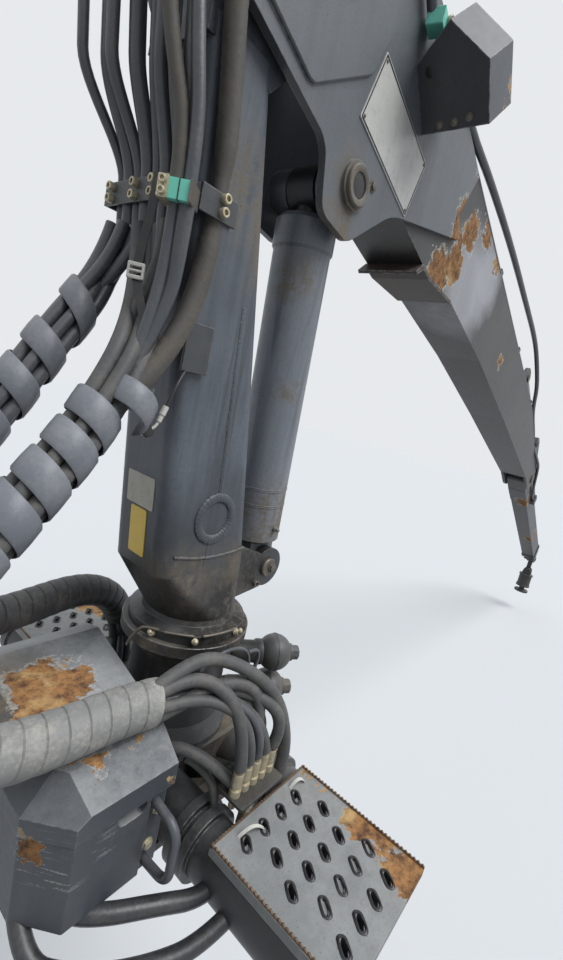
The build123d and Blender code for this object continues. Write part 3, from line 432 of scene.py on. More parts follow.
root_paint = paint("root_paint", (0.118, 0.13, 0.146), dirt=0.05, streaks=0.25, chips=0.6, shine=0.3,
    dirt_spots=((0.14, -0.14, 1.71, 0.09), (0.13, -0.14, 1.6, 0.1)),
    rust_spots=((0.86, -0.12, 1.9, 0.085), (0.77, -0.12, 1.73, 0.06), (0.92, -0.12, 2.06, 0.04),
        (0.62, -0.12, 1.6, 0.03), (0.83, 0.12, 1.86, 0.12)))
boom_paint = paint("boom_paint", (0.04, 0.041, 0.044), dirt=0.2, streaks=0.45, chips=0.8, shine=0.36,
    pale=1.6, flakes=0.95,
    dirt_spots=((1.0, -0.11, 1.7, 0.3),),
    bare_spots=((1.12, -0.11, 1.74, 0.3), (1.34, -0.11, 1.86, 0.22)),
    rust_spots=((0.93, -0.11, 1.8, 0.085), (0.82, -0.11, 1.7, 0.1), (1.02, -0.11, 1.93, 0.075),
        (1.2, -0.11, 2.02, 0.07), (1.4, -0.11, 1.95, 0.05), (0.98, -0.11, 1.57, 0.05),
        (1.5, -0.1, 1.42, 0.08), (2.2, -0.1, 1.22, 0.05), (1.9, -0.1, 1.6, 0.05)))
hood_paint = paint("hood_paint", (0.066, 0.073, 0.086), dirt=0.12, streaks=0.3, chips=1.0, shine=0.36,
    pale=1.5, dust=0.75, edge=0.006, dust_tone=(0.43, 0.43, 0.43),
    rust_spots=((0.52, -0.318, 2.02, 0.03), (0.53, -0.318, 2.12, 0.026), (0.44, -0.318, 2.2, 0.02)))
outer_paint = paint("outer_paint", (0.052, 0.056, 0.062), dirt=0.16, streaks=0.35, chips=0.5, shine=0.36,
    pale=1.5,
    rust_spots=((4.4, -0.08, 0.6, 0.12), (5.6, -0.06, 0.1, 0.1)))
barrel_paint = paint("barrel_paint", (0.185, 0.203, 0.232), dirt=0.14, streaks=0.75, chips=0.25, shine=0.32,
    dirt_spots=((0.1, -0.055, 1.475, 0.085), (0.17, -0.05, 1.18, 0.05), (0.19, -0.06, 0.8, 0.16)))
rotator_paint = paint("rotator_paint", (0.034, 0.036, 0.039), dirt=0.35, streaks=0.2, chips=0.5, shine=0.4)

hose_rubber = rubber("hose_rubber", (0.074, 0.08, 0.092), dust=0.3, shine=0.24)
hose_old = rubber("hose_old", (0.03, 0.031, 0.034), shine=0.22, dust_color=(0.13, 0.125, 0.12))
hose_dusty = rubber("hose_dusty", (0.075, 0.076, 0.078), dust=0.6, shine=0.45)
sleeve_brown = rubber("sleeve_brown", (0.075, 0.07, 0.064), dust=0.8, shine=0.5,
    dust_color=(0.17, 0.145, 0.11))
guard_plastic = rubber("guard_plastic", (0.16, 0.172, 0.196), dust=0.45, shine=0.3,
    dust_color=(0.32, 0.325, 0.33))
guard_dusty = rubber("guard_dusty", (0.215, 0.215, 0.21), dust=0.85, shine=0.42,
    dust_color=(0.44, 0.42, 0.37))
guard_black = rubber("guard_black", (0.034, 0.034, 0.036), shine=0.34)
# Black for the strap and the sensor wire, and painted shade on the step plate's rims.
black_steel_and_hole_shade = enamel("black_steel_and_hole_shade", (0.016, 0.016, 0.018), dirt=0.2, shine=0.35)
cream_zinc = metal("cream_zinc", (0.56, 0.5, 0.36), rough=0.34, dirt=0.55, metalness=0.55)
pin_steel = metal("pin_steel", (0.16, 0.145, 0.125), rough=0.4, dirt=0.75, metalness=0.7)
chrome = metal("chrome", (0.62, 0.62, 0.63), rough=0.1, dirt=0.1, metalness=1.0)
# The rod's eye is painted black: painted shade where it stands in shadow under the boom's root.
chrome_shaft = metal("chrome_shaft", (0.62, 0.62, 0.63), rough=0.1, dirt=0.1, metalness=1.0,
    shaded_eye=(0.16, 0, 1.73, 0.2))
sign_white = enamel("sign_white", (0.66, 0.66, 0.63), dirt=0.35)
# Black ink for the sign's border and the clamp's split, and painted shade in two holes.
ink_and_hole_shade = enamel("ink_and_hole_shade", (0.018, 0.018, 0.02), dirt=0.2)
sign_yellow = enamel("sign_yellow", (0.95, 0.66, 0.08), dirt=0.3)
sign_alloy = enamel("sign_alloy", (0.56, 0.55, 0.47), dirt=0.45, shine=0.45)
turquoise = enamel("turquoise", (0.22, 0.78, 0.62), dirt=0.3, shine=0.45)
rust_edge = metal("rust_edge", (0.13, 0.08, 0.05), rough=0.6, dirt=0.9, metalness=0.1,
    dirt_color=(0.27, 0.2, 0.13))
strap_white = enamel("strap_white", (0.62, 0.61, 0.57), dirt=0.35, shine=0.45)

# %% Paint the frame's nodes
FINISHED = ((base_paint, "base_plate rack_housing supply_block fitting_bracket valve_shelf"),
    (column_paint, "slew_column"), (tube_paint, "slew_tube_front slew_tube_rear"),
    (accumulator_paint, "accumulators"), (step_paint, "step_plate_near step_plate_far"),
    (lid_paint, "valve_housing valve_lid"), (pillar_paint, "pillar lift_foot"),
    (barrel_paint, "lift_barrel jib_barrel"), (chrome_shaft, "lift_rod"),
    (pin_steel, "lift_foot_pin pivot_pin jib_pin knuckle_pin horn_pins tip_pin"), (chrome, "jib_rod"),
    (sign_alloy, "data_plate"), (sign_yellow, "notice_plate"), (sign_white, "boom_sign"),
    (turquoise, "hose_clamps"), (boom_paint, "main_boom"), (rub_paint, "rub_plate"),
    (root_paint, "root_plate_near root_plate_far lift_pins"), (hood_paint, "guard_hood boom_hose_clamps"),
    (cream_zinc, "hose_fittings"),
    (outer_paint, "hose_bar outer_boom hose_ports first_extension second_extension"),
    (rotator_paint, "tip_link rotator rotator_flange"))
finish_of = {name: finish for finish, names in FINISHED for name in names.split()}
for name, node in nodes.items():
    node.data.materials.clear()
    node.data.materials.append(finish_of.get(name, hose_rubber))
print("in rubber", [name for name in nodes if name not in finish_of])

# %% [markdown]
# ## Surfaces from two parameters
# A hose, a weld bead, a bolt head and a spiral guard are all the same thing to numpy: a grid of points,
# one row per step along the piece and one column per step around it. One function turns such a grid into
# a mesh, closes it where it should close, and hangs it on a body of the crane.

# %% Grid to mesh
def grid_mesh(name, grids, finish, body=None, caps=True, smooth=True):
    """Builds one mesh from several grids of points, each (rows, columns, 3), riding on a body.

    The columns join round, and caps fans each end row to its own centre. Most pieces are hoses."""
    points, faces, start = [], [], 0
    for grid in grids:
        rows, columns = grid.shape[:2]
        index = start + np.arange(rows * columns).reshape(rows, columns)
        right = np.roll(index, -1, axis=1)
        faces.append(np.stack([index[:-1], right[:-1], right[1:], index[1:]], -1).reshape(-1, 4))
        points.append(grid.reshape(-1, 3))
        first, start = start, start + rows * columns
        if caps:
            ring = np.arange(columns)
            after = np.roll(ring, -1)
            for row, (a, b) in ((0, (after, ring)), (rows - 1, (ring, after))):
                base = first + row * columns
                middle = np.full(columns, start)
                faces.append(np.stack([base + a, base + b, middle, middle], -1))
                points.append(grid[row].mean(0)[None])
                start += 1
    points, faces = np.concatenate(points), np.concatenate(faces)
    listed = [tuple(f[:3]) if f[2] == f[3] else tuple(f) for f in faces.tolist()]
    mesh = bpy.data.meshes.new(name)
    mesh.from_pydata(points.tolist(), [], listed)
    mesh.materials.append(finish)
    mesh.update()
    if smooth:
        mesh.shade_smooth()
        mesh.set_sharp_from_angle(angle=0.7)
    piece = bpy.data.objects.new(name, mesh)
    scene.collection.objects.link(piece)
    if body:
        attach(piece, body)
    return piece


def frames(path):
    """Tangent and two side directions along a path, turned as little as possible from point to point."""
    along = np.gradient(path, axis=0)
    along /= np.linalg.norm(along, axis=1, keepdims=True)
    helper = np.array([0.0, 1.0, 0.0]) if abs(along[0, 1]) < 0.8 else np.array([1.0, 0.0, 0.0])
    sides = np.empty_like(along)
    side = helper
    for i, direction in enumerate(along):
        side = side - direction * side.dot(direction)
        side = side / np.linalg.norm(side)
        sides[i] = side
    return along, sides, np.cross(along, sides)


def tube(path, radius, around=12):
    """Points of a tube: p(s, a) = path(s) + r(s) (side cos a + up sin a)."""
    path = np.asarray(path, float)
    _, side, up = frames(path)
    angle = np.linspace(0, 2 * np.pi, around, endpoint=False)[None, :, None]
    r = np.broadcast_to(np.asarray(radius, float), (len(path),))[:, None, None]
    return path[:, None] + r * (side[:, None] * np.cos(angle) + up[:, None] * np.sin(angle))


def turned(profile, centre, axis, around=24, twist=0.0):
    """Points of a turned piece: a profile of (reach, radius) pairs swung about an axis through centre."""
    profile = np.asarray(profile, float)
    axis = np.asarray(axis, float) / np.linalg.norm(axis)
    helper = np.array([0.0, 0.0, 1.0]) if abs(axis[2]) < 0.8 else np.array([1.0, 0.0, 0.0])
    side = np.cross(axis, helper)
    side /= np.linalg.norm(side)
    up = np.cross(axis, side)
    angle = np.linspace(0, 2 * np.pi, around, endpoint=False)[None, :, None] + twist
    ring = side * np.cos(angle) + up * np.sin(angle)
    return np.asarray(centre, float) + profile[:, :1, None] * axis + profile[:, 1:, None] * ring


def smooth_curve(name, route, resolution):
    """A curve object: one open NURBS spline with a route's points as its control points."""
    data = bpy.data.curves.new(name, "CURVE")
    data.dimensions = "3D"
    spline = data.splines.new("NURBS")
    spline.points.add(len(route) - 1)
    for point, place in zip(spline.points, route):
        point.co = (*place, 1)
    spline.order_u = 3
    spline.use_endpoint_u = True
    spline.resolution_u = resolution
    piece = bpy.data.objects.new(name, data)
    scene.collection.objects.link(piece)
    return piece


def path_length(path):
    """The length gone at each point of a path: the running sum of its steps."""
    return np.r_[0, np.cumsum(np.linalg.norm(np.diff(path, axis=0), axis=1))]


def curve_points(route, count):
    """Points read along the smooth curve of a route, count of them, evenly spaced."""
    holder = smooth_curve("route", route, 24)
    bpy.context.view_layer.update()
    mesh = bpy.data.meshes.new_from_object(holder)
    found = np.array([v.co for v in mesh.vertices], float)
    bpy.data.curves.remove(holder.data)
    bpy.data.meshes.remove(mesh)
    step = path_length(found)
    even = np.linspace(0, step[-1], count)
    return np.stack([np.interp(even, step, found[:, k]) for k in range(3)], 1)


def smooth_step(value):
    """0 to 1 with a soft start and end."""
    value = np.clip(value, 0, 1)
    return value * value * (3 - 2 * value)


# %% Sizes read from the frame
def middle_of(name):
    """The middle of a node's box."""
    low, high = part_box(name)
    return (low + high) / 2


low_pack, high_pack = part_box("pillar_hoses")
low_bar, high_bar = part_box("hose_bar")
HOSE_R = 0.0125
HOSE_YS = low_pack.y + HOSE_R + 0.0305 * np.arange(8)
BAR_Z = (low_bar.z + high_bar.z) / 2
PACK_FOOT_X, PACK_FOOT_Z = high_pack.x - 0.013, low_pack.z
PACK_HEAD_X, PACK_HEAD_Z = low_pack.x + 0.013, high_pack.z
print("bar", round(BAR_Z, 3), "hoses from", HOSE_YS[0].round(3), "to", HOSE_YS[-1].round(3))

# %% [markdown]
# ## Hoses on the pillar
# Eight hoses rise behind a bent bar, and two more pass outside it through a plastic block. They were cut
# to slightly different lengths, so no two bow out by the same amount. Each is a tube along a path whose
# bow and sway grow with height, and the whole set is one piece that takes the plain pack's place.

# %% Pillar hoses
rng = np.random.default_rng(7)
heights = np.linspace(0, 1, 40)
bows = rng.uniform(0.0, 0.03, 8) + np.array([0, 0, 0.01, 0.02, 0.03, 0.045, 0.06, 0.07])
sways = rng.uniform(-0.016, 0.016, 8)
radii = HOSE_R * np.array([1.1, 0.78, 1.2, 0.84, 1.22, 0.92, 1.22, 0.8])


def pillar_hose(y, bow, sway):
    """A hose from under the bar to the pillar's head, bowed away from the shaft above the bar."""
    z = PACK_FOOT_Z + heights * (PACK_HEAD_Z - PACK_FOOT_Z)
    x = PACK_FOOT_X + heights * (PACK_HEAD_X - PACK_FOOT_X)
    free = smooth_step((z - BAR_Z - 0.03) / 0.18) * smooth_step((PACK_HEAD_Z + 0.04 - z) / 0.16)
    return np.stack([x - bow * free, y + sway * free * np.sin(heights * 5 + y * 40), z], 1)


grids = [tube(pillar_hose(y, bow, sway), r) for y, bow, sway, r in zip(HOSE_YS, bows, sways, radii)]
pillar_hose_set = grid_mesh("pillar_hose_set", grids, hose_rubber, "pillar")
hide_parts("pillar_hoses")

# %% [markdown]
# ## Hoses over the boom's root
# Above the pillar's head the hoses leave the pillar and come down on the boom's top. They bend when the
# boom lifts, but this piece is left on no body, in the shape it has at rest.

# %% Root hoses
BOOM_ANGLE = np.radians(-16.8)
BOOM_C, BOOM_S = np.cos(BOOM_ANGLE), np.sin(BOOM_ANGLE)
PIVOT = middle_of("pivot_pin")
HOSES_OVER = 0.3375


def on_boom(u, y, v):
    """A point along, beside and above the boom's own axis through the pivot."""
    return np.array([PIVOT.x + u * BOOM_C - v * BOOM_S, y, PIVOT.z + u * BOOM_S + v * BOOM_C])


pack_lean = (PACK_HEAD_X - PACK_FOOT_X) / (PACK_HEAD_Z - PACK_FOOT_Z)
grids = []
for i, (y, r) in enumerate(zip(HOSE_YS, radii)):
    lane = -0.085 + 0.0275 * i
    extra = rng.uniform(0.0, 0.05)
    head = np.array([PACK_HEAD_X, y, PACK_HEAD_Z])
    rise = head + np.array([pack_lean, 0, 1.0]) * (0.4 + extra)
    route = [head, head + np.array([pack_lean, 0, 1.0]) * 0.14, rise, on_boom(-0.071, lane, 0.5 + extra),
        *(on_boom(u, lane, HOSES_OVER) for u in (0.3, 0.46, 0.56))]
    grids.append(tube(curve_points(route, 56), r))
root_hose_set = grid_mesh("root_hose_set", grids, hose_rubber)
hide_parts("root_hoses")
tuple(on_boom(0.45, 0, 0.34))
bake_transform(root_hose_set)

# %% [markdown]
# ## Hoses past the knuckle
# Four hoses cross the knuckle pin and end in ports on the outer boom. They have to bend with it, but
# this piece is left on no body, along the route that the solids have.

# %% Knuckle hoses
OUTER_ANGLE = np.radians(-25)
KNUCKLE = on_boom(4.2, 0, 0.05)


def on_outer(w, y, t):
    """A point along, beside and above the outer boom's axis through the knuckle pin."""
    turn_c, turn_s = np.cos(OUTER_ANGLE), np.sin(OUTER_ANGLE)
    return np.array([KNUCKLE[0] + w * turn_c - t * turn_s, y, KNUCKLE[2] + w * turn_s + t * turn_c])


knuckle_grids = []
for side in (-1, 1):
    for t, y_start, y_past in ((0.05, 0.074, 0.098), (0.016, 0.098, 0.122)):
        y_start, y_past, y_port = side * y_start, side * y_past, side * 0.098
        route = [on_boom(3.74, y_start, 0.2355), on_boom(3.79, y_start, 0.2269),
            on_boom(3.94, y_past, 0.2011), on_boom(4.15, y_past, 0.201), on_boom(4.26, y_past, 0.18),
            on_outer(0.4, y_port, t), on_outer(0.54, y_port, t), on_outer(0.62, y_port, t)]
        knuckle_grids.append(tube(curve_points(route, 60), 0.011, 14))
knuckle_hose_set = grid_mesh("knuckle_hose_set", knuckle_grids, hose_rubber)
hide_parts("knuckle_hoses")
tuple(on_boom(3.8, 0, 0.22))
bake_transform(knuckle_hose_set)

# %% [markdown]
# ## The two loops to the base
# Under the bar the hoses gather into two bundles that swing out, turn back under themselves and end at
# the base, so that the pillar can slew. Each bundle is seven hoses laid as six round one, inside a guard.
# The middle hose follows the loop's curve. The others keep their distance from
# it, and near each end they leave the round bundle and fan out to where they are clamped or screwed in.

# %% Loop routes and bundles
LOW_ROUTE = ((-0.318, -0.06, 1.437), (-0.312, -0.066, 1.318), (-0.415, -0.12, 1.08), (-0.585, -0.16, 0.88),
    (-0.79, -0.19, 0.64), (-0.64, -0.205, 0.482), (-0.19, -0.228, 0.482), (-0.04, -0.372, 0.43),
    (-0.04, -0.372, 0.312))
HIGH_ROUTE = ((-0.318, 0.075, 1.437), (-0.34, 0.075, 1.33), (-0.432, 0.062, 1.2), (-0.52, 0.048, 1.05),
    (-0.66, 0.03, 0.85), (-0.79, 0.04, 0.66), (-0.6, 0.13, 0.52), (0.0, 0.285, 0.52), (0.0, 0.285, 0.19))
CORE_R = 0.012


def cord_curve(name, route):
    """A smooth hose along a route: its curve with a round section of radius CORE_R."""
    piece = smooth_curve(name, route, 16)
    piece.data.bevel_depth, piece.data.bevel_resolution, piece.data.use_fill_caps = CORE_R, 3, True
    piece.data.materials.append(hose_rubber)
    return piece


def bundle(path, ring_r, radii, start_fan, end_fan, fan_start, fan_end, twist=2.5, arches=None):
    """Tubes round a path: offset(s) goes from start_fan to a slow ring of all hoses and on to end_fan.

    arches lifts each hose by its own amount while it fans out, as sin(pi x) over that stretch."""
    along, side, up = frames(path)
    run = np.linspace(0, 1, len(path))
    far = smooth_step((run - fan_start[0]) / (fan_start[1] - fan_start[0]))
    near_end = smooth_step((run - fan_end[0]) / (fan_end[1] - fan_end[0]))
    made = []
    for i, hose_r in enumerate(radii):
        angle = 2 * np.pi * i / len(radii) + twist * run
        ring = ring_r * (side * np.cos(angle)[:, None] + up * np.sin(angle)[:, None])
        offset = (1 - far)[:, None] * np.asarray(start_fan[i]) + (far * (1 - near_end))[:, None] * ring
        offset = offset + near_end[:, None] * np.asarray(end_fan[i])
        if arches:
            over = np.clip((run - fan_end[0]) / (1 - fan_end[0]), 0, 1)
            offset = offset + np.sin(np.pi * over)[:, None] * np.asarray(arches[i])
        made.append(tube(path + offset, hose_r))
    return made


def spiral_guard(path, radius, pitches, width, thick, start, per_turn=20, turn=0.0):
    """A flat band wound round a path: at turn t it has gone s = start + the pitches up to t, and stands at
    the angle turn - 2 pi t.

    The grid's columns run round the band's own flat section, so it is a closed ribbon with thickness."""
    step = path_length(path)
    t = np.linspace(0, len(pitches), len(pitches) * per_turn + 1)
    gone = np.interp(t, np.arange(len(pitches) + 1), np.r_[0, np.cumsum(pitches)])
    section = np.array([(0, 0), (0.08, 1), (0.5, 1.25), (0.92, 1), (1, 0), (0.92, -0.6), (0.5, -0.4),
        (0.08, -0.6)])
    along, side, up = frames(path)
    s = start + gone[:, None] + width * section[None, :, 0]
    at = [np.stack([np.interp(s, step, source[:, k]) for k in range(3)], -1) for source in (path, side, up)]
    angle = -2 * np.pi * np.broadcast_to(t[:, None], s.shape)[..., None] + turn
    r = (radius + thick * section[:, 1])[None, :, None]
    return at[0] + r * (at[1] * np.cos(angle) + at[2] * np.sin(angle))


FITTING_XS = np.array([-0.1, -0.07, -0.04, -0.01, 0.02])
low_path = curve_points(LOW_ROUTE, 220)
high_path = curve_points(HIGH_ROUTE, 220)
front_ys = [*HOSE_YS[:4], HOSE_YS[3] + 0.012, HOSE_YS[0] + 0.014]
low_start = [(0.012 if i < 4 else -0.008, y - LOW_ROUTE[0][1], 0.0) for i, y in enumerate(front_ys)]
high_start = [(0.012, y - HIGH_ROUTE[0][1], 0.0) for y in HOSE_YS[4:]]
high_start += [(-0.012, -0.02, 0.0), (-0.012, 0.022, 0.0)]
left_out, left, _, right, right_out = [(x, 0, 0) for x in FITTING_XS - FITTING_XS[2]]
low_end = [left_out, left, (0.0, 0.034, -0.02), (0.03, 0.036, -0.03), right_out, right]
high_end = [(0.025 * np.cos(a), 0.025 * np.sin(a), 0) for a in np.arange(6) * np.pi / 3]

low_arches = [(0.0, 0.012, 0.036), (-0.01, 0.0, 0.012), (0.05, -0.012, 0.046), (0.03, -0.02, 0.006),
    (0.022, -0.016, -0.004), (-0.02, 0.01, -0.012)]
low_radii = [0.0155, 0.013, 0.0165, 0.014, 0.0155, 0.0135]
high_radii = [0.0135, 0.012, 0.0145, 0.012, 0.0125, 0.0135]
low_ring = bundle(low_path, 0.029, low_radii, low_start, low_end, (0.0, 0.16), (0.8, 0.98), arches=low_arches)
high_ring = bundle(high_path, 0.027, high_radii, high_start, high_end, (0.0, 0.12), (0.9, 1.0))
lower_path = low_path + (0.016, -0.033, -0.036)
low_turns = [spiral_guard(low_path, 0.0475, [0.07] * 9, 0.056, 0.0028, 0.35),
    spiral_guard(lower_path, 0.044, [0.05], 0.052, 0.0028, 0.262, turn=1.2)]
high_turns = [spiral_guard(high_path, 0.0425, [0.125] + [0.086] * 7, 0.054, 0.0028, 0.125)]
low_wound = [spiral_guard(low_path, 0.0455, [0.04] * 12, 0.0415, 0.0034, 0.985)]
high_wound = [spiral_guard(high_path, 0.0405, [0.036] * 23, 0.037, 0.004, 0.92)]
LOOPS = (
    ("low", LOW_ROUTE, low_path, (low_ring, low_turns, low_wound), (hose_dusty, guard_plastic, guard_dusty)),
    ("high", HIGH_ROUTE, high_path, (high_ring, high_turns, high_wound),
        (hose_rubber, guard_plastic, guard_black)))
for loop, route, path, made, finishes in LOOPS:
    parts = [grid_mesh("loop_%s_%s" % (loop, part), grids, finish, "pillar")
        for part, grids, finish in zip(("hoses", "guard", "sleeve"), made, finishes)]
    core = cord_curve("loop_%s_core" % loop, route)
    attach(core, "pillar")
    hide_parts("hose_loop_" + loop)

# %% [markdown]
# ## Bolts, welds and small fittings
# A socket screw is a turned profile with a recess in its middle. The same profile is placed many times by
# one function that adds the grids of all screws to one mesh, so that a row of bolts is one piece.

# %% Screws
def socket_screw(centre, axis, r, deep):
    """A cap screw's head: rim, slight chamfer and the socket's floor."""
    return turned([(0, r), (deep * 0.9, r), (deep, r * 0.9), (deep, r * 0.56), (deep * 0.35, r * 0.52),
        (deep * 0.35, 0.0001)], centre, axis, 20)


def hex_head(centre, axis, r, deep, twist=0.0):
    """A hexagon head over its washer."""
    washer = turned([(0, r * 1.25), (deep * 0.22, r * 1.25), (deep * 0.24, r)], centre, axis, 18)
    head = turned([(deep * 0.2, r), (deep * 0.9, r), (deep, r * 0.86), (deep, 0.0001)], centre, axis, 6,
        twist)
    return [washer, head]


bar_front_x = low_bar.x
screws = []
for y in (0.12, 0.035, -0.028):
    for z in (-0.0115, 0.0115):
        screws.append(socket_screw((bar_front_x, y, BAR_Z + z), (-1, 0, 0), 0.0088, 0.013))
for z in (1.477, 1.501):
    screws.append(socket_screw((-0.252, -0.1455, z), (0, -1, 0), 0.0092, 0.013))
grid_mesh("bar_screws", screws, cream_zinc, "pillar")

# %% Plates on the turquoise block
CLAMP, CLAMP_TURN, CLAMP_HALF = np.array([-0.342, -0.127, 1.473]), np.radians(-55), (0.028, 0.022, 0.017)


def slab(centre, half, bevel=0.0015, turn=0.0):
    """A box as a grid: a rectangle's outline carried through four levels, its rims pulled in by a bevel."""
    hx, hy, hz = half
    corners = np.array(CORNERS, float)
    c, s = np.cos(turn), np.sin(turn)
    made = []
    for z, b in ((-hz, bevel), (-hz + bevel, 0), (hz - bevel, 0), (hz, bevel)):
        x, y = corners[:, 0] * (hx - b), corners[:, 1] * (hy - b)
        made.append(np.c_[centre[0] + x * c - y * s, centre[1] + x * s + y * c, np.full(4, centre[2] + z)])
    return np.stack(made)


clamp_along = np.array([np.cos(CLAMP_TURN), np.sin(CLAMP_TURN), 0])
clamp_back = np.array([-np.sin(CLAMP_TURN), np.cos(CLAMP_TURN), 0])


def at_clamp(along, back, up=0.0):
    """A point given along the block's face, back from its middle and up."""
    return CLAMP + clamp_along * along + clamp_back * back + np.array([0, 0, up])


half_deep, half_high = CLAMP_HALF[1:]
side_plate = slab(at_clamp(-0.0195, -0.0015), (0.0095, half_deep + 0.002, half_high + 0.002), turn=CLAMP_TURN)
end_plate = slab(at_clamp(0.0305, -0.002), (0.0026, half_deep + 0.002, half_high + 0.002), turn=CLAMP_TURN)
bar_plate = slab((-0.259, -0.1425, 1.486), (0.046, 0.003, 0.0235), 0.001)
split = slab(at_clamp(0.0085, 0), (0.001, half_deep + 0.0007, half_high + 0.0007), 0.0002, CLAMP_TURN)
for name, made, finish, slot_name in (("clamp_side_plates", side_plate, cream_zinc, "zinc_fitting"),
        ("clamp_end_plate", end_plate, pin_steel, "pin_steel"),
        ("bar_side_plate", bar_plate, outer_paint, "crane_paint"),
        ("clamp_split", split, ink_and_hole_shade, "hose_black")):
    grid_mesh(name, [made], finish, "pillar", smooth=False)
grid_mesh("clamp_screws", [socket_screw(at_clamp(-0.0195, -0.0255, up), -clamp_back, 0.0068, 0.007)
    for up in (-0.009, 0.009)], cream_zinc, "pillar")

# %% Hoses outside the bar
inside, deeper = low_path[38], low_path[52]
braided = [at_clamp(-0.004, 0.0, 0.01), at_clamp(-0.006, 0.0, 0.11), (-0.372, -0.098, 1.68),
    (-0.402, -0.078, 1.82), (-0.412, -0.06, 1.95), (-0.4, -0.05, 2.02)]
plain = [at_clamp(0.019, 0.0, 0.01), at_clamp(0.019, 0.001, 0.11), (-0.352, -0.126, 1.72),
    (-0.372, -0.1, 1.93), (-0.378, -0.094, 2.02)]
below = [at_clamp(-0.004, 0.002, -0.01), at_clamp(-0.002, 0.004, -0.1), (-0.352, -0.12, 1.27),
    tuple(inside + (0.012, -0.012, 0.01)), tuple(deeper + (0.01, -0.01, 0.0))]
thick = [at_clamp(0.019, 0.002, -0.01), at_clamp(0.017, 0.006, -0.1), (-0.325, -0.128, 1.3),
    tuple(inside + (0.026, -0.004, 0.022)), tuple(deeper + (0.018, 0.0, 0.01))]
grid_mesh("front_hoses", [tube(curve_points(plain, 50), 0.0125), tube(curve_points(below, 40), 0.0115),
    tube(curve_points(thick, 40), 0.015)], hose_rubber, "pillar")
grid_mesh("braided_hose", [tube(curve_points(braided, 60), 0.0138)], sleeve_brown, "pillar")

# Worn sleeve down the pillar's near corner, which ends inside the low loop's guard
sleeve_route = [(-0.306, -0.1205, 1.965), (-0.283, -0.1215, 1.812), (-0.262, -0.1225, 1.688),
    (-0.25, -0.1235, 1.59), (-0.249, -0.1235, 1.5), (-0.251, -0.124, 1.43), (-0.262, -0.127, 1.33),
    (-0.3, -0.13, 1.225), (-0.362, -0.128, 1.13), (-0.43, -0.13, 1.05), (-0.5, -0.14, 0.98)]
sleeve_path = curve_points(sleeve_route, 110)
sleeve_z = sleeve_path[:, 2]
ribs = 0.0005 * np.sin(np.arange(110) * np.pi * 0.9)
wide = 0.0165 + 0.005 * smooth_step((np.abs(sleeve_z - BAR_Z) - 0.03) / 0.06)
wide = wide - 0.007 * smooth_step((1.16 - sleeve_z) / 0.12)
grid_mesh("corner_sleeve", [tube(sleeve_path, wide + ribs, 16)], sleeve_brown, "pillar")


def ribbon(path, across, half, thick=0.0012):
    """A flat strap: a thin rectangle's four corners carried along a path, its width along across."""
    path = np.asarray(path, float)
    along, _, _ = frames(path)
    wide = np.asarray(across, float) - along * (along @ np.asarray(across, float))[:, None]
    wide /= np.linalg.norm(wide, axis=1, keepdims=True)
    up = np.cross(along, wide)
    corners = np.array([(-half, -thick), (half, -thick), (half, thick), (-half, thick)])
    return path[:, None] + corners[None, :, :1] * wide[:, None] + corners[None, :, 1:] * up[:, None]


# Strap with a white buckle round the hoses under the bar
strap = [(-0.364, -0.096, 1.5), (-0.368, -0.096, 1.43), (-0.372, -0.086, 1.372), (-0.372, -0.085, 1.33)]
tail = [(-0.372, -0.084, 1.326), (-0.371, -0.1, 1.288), (-0.363, -0.124, 1.24)]
BUCKLE_TURN = np.radians(-50)
grid_mesh("hose_strap", [ribbon(curve_points(strap, 24), (0.62, -0.75, 0.0), 0.008),
    ribbon(curve_points(tail, 16), (0.62, -0.75, 0.1), 0.008)], black_steel_and_hole_shade, "pillar")
buckle = [slab((-0.376, -0.088, z), (0.015, 0.003, h), 0.001, BUCKLE_TURN)
    for z, h in ((1.342, 0.0035), (1.331, 0.002), (1.32, 0.0035))]
buckle += [slab((-0.376 + k * 0.0085, -0.088 - k * 0.01, 1.331), (0.002, 0.0034, 0.0135), 0.0008, BUCKLE_TURN)
    for k in (-1, 1)]
grid_mesh("strap_buckle", buckle, strap_white, "pillar", smooth=False)

# Bracket and sensor plug on the pillar's near corner
grid_mesh("pillar_bracket", [slab((-0.225, -0.1115, 1.225), (0.034, 0.0035, 0.05), 0.001)], outer_paint,
    "pillar", smooth=False)
plug = turned([(0, 0.005), (0.014, 0.005), (0.015, 0.0064), (0.034, 0.0064), (0.035, 0.0001)],
    (-0.306, -0.132, 1.068), (0.35, 0.0, 0.94), 14)
plug_lead = [(-0.306, -0.132, 1.069), (-0.312, -0.132, 1.052), (-0.328, -0.126, 1.048)]
wire = [(-0.295, -0.132, 1.098), (-0.285, -0.134, 1.13), (-0.262, -0.124, 1.165), (-0.25, -0.116, 1.175)]
button = turned([(0, 0.013), (0.012, 0.013), (0.014, 0.01), (0.02, 0.01), (0.021, 0.0001)],
    (-0.322, -0.112, 1.046), (0, -1, 0), 14)
grid_mesh("sensor_plug", [plug, tube(curve_points(plug_lead, 14), 0.003)], strap_white, "pillar")
grid_mesh("sensor_wire", [tube(curve_points(wire, 24), 0.0028), button], black_steel_and_hole_shade, "pillar")

# %% Welds on the pillar
def near_face_y(z):
    """The pillar's near face at a height, from the widths at the shaft's foot and top."""
    return -(0.106 - 0.011 * (z - 0.69) / 1.11)


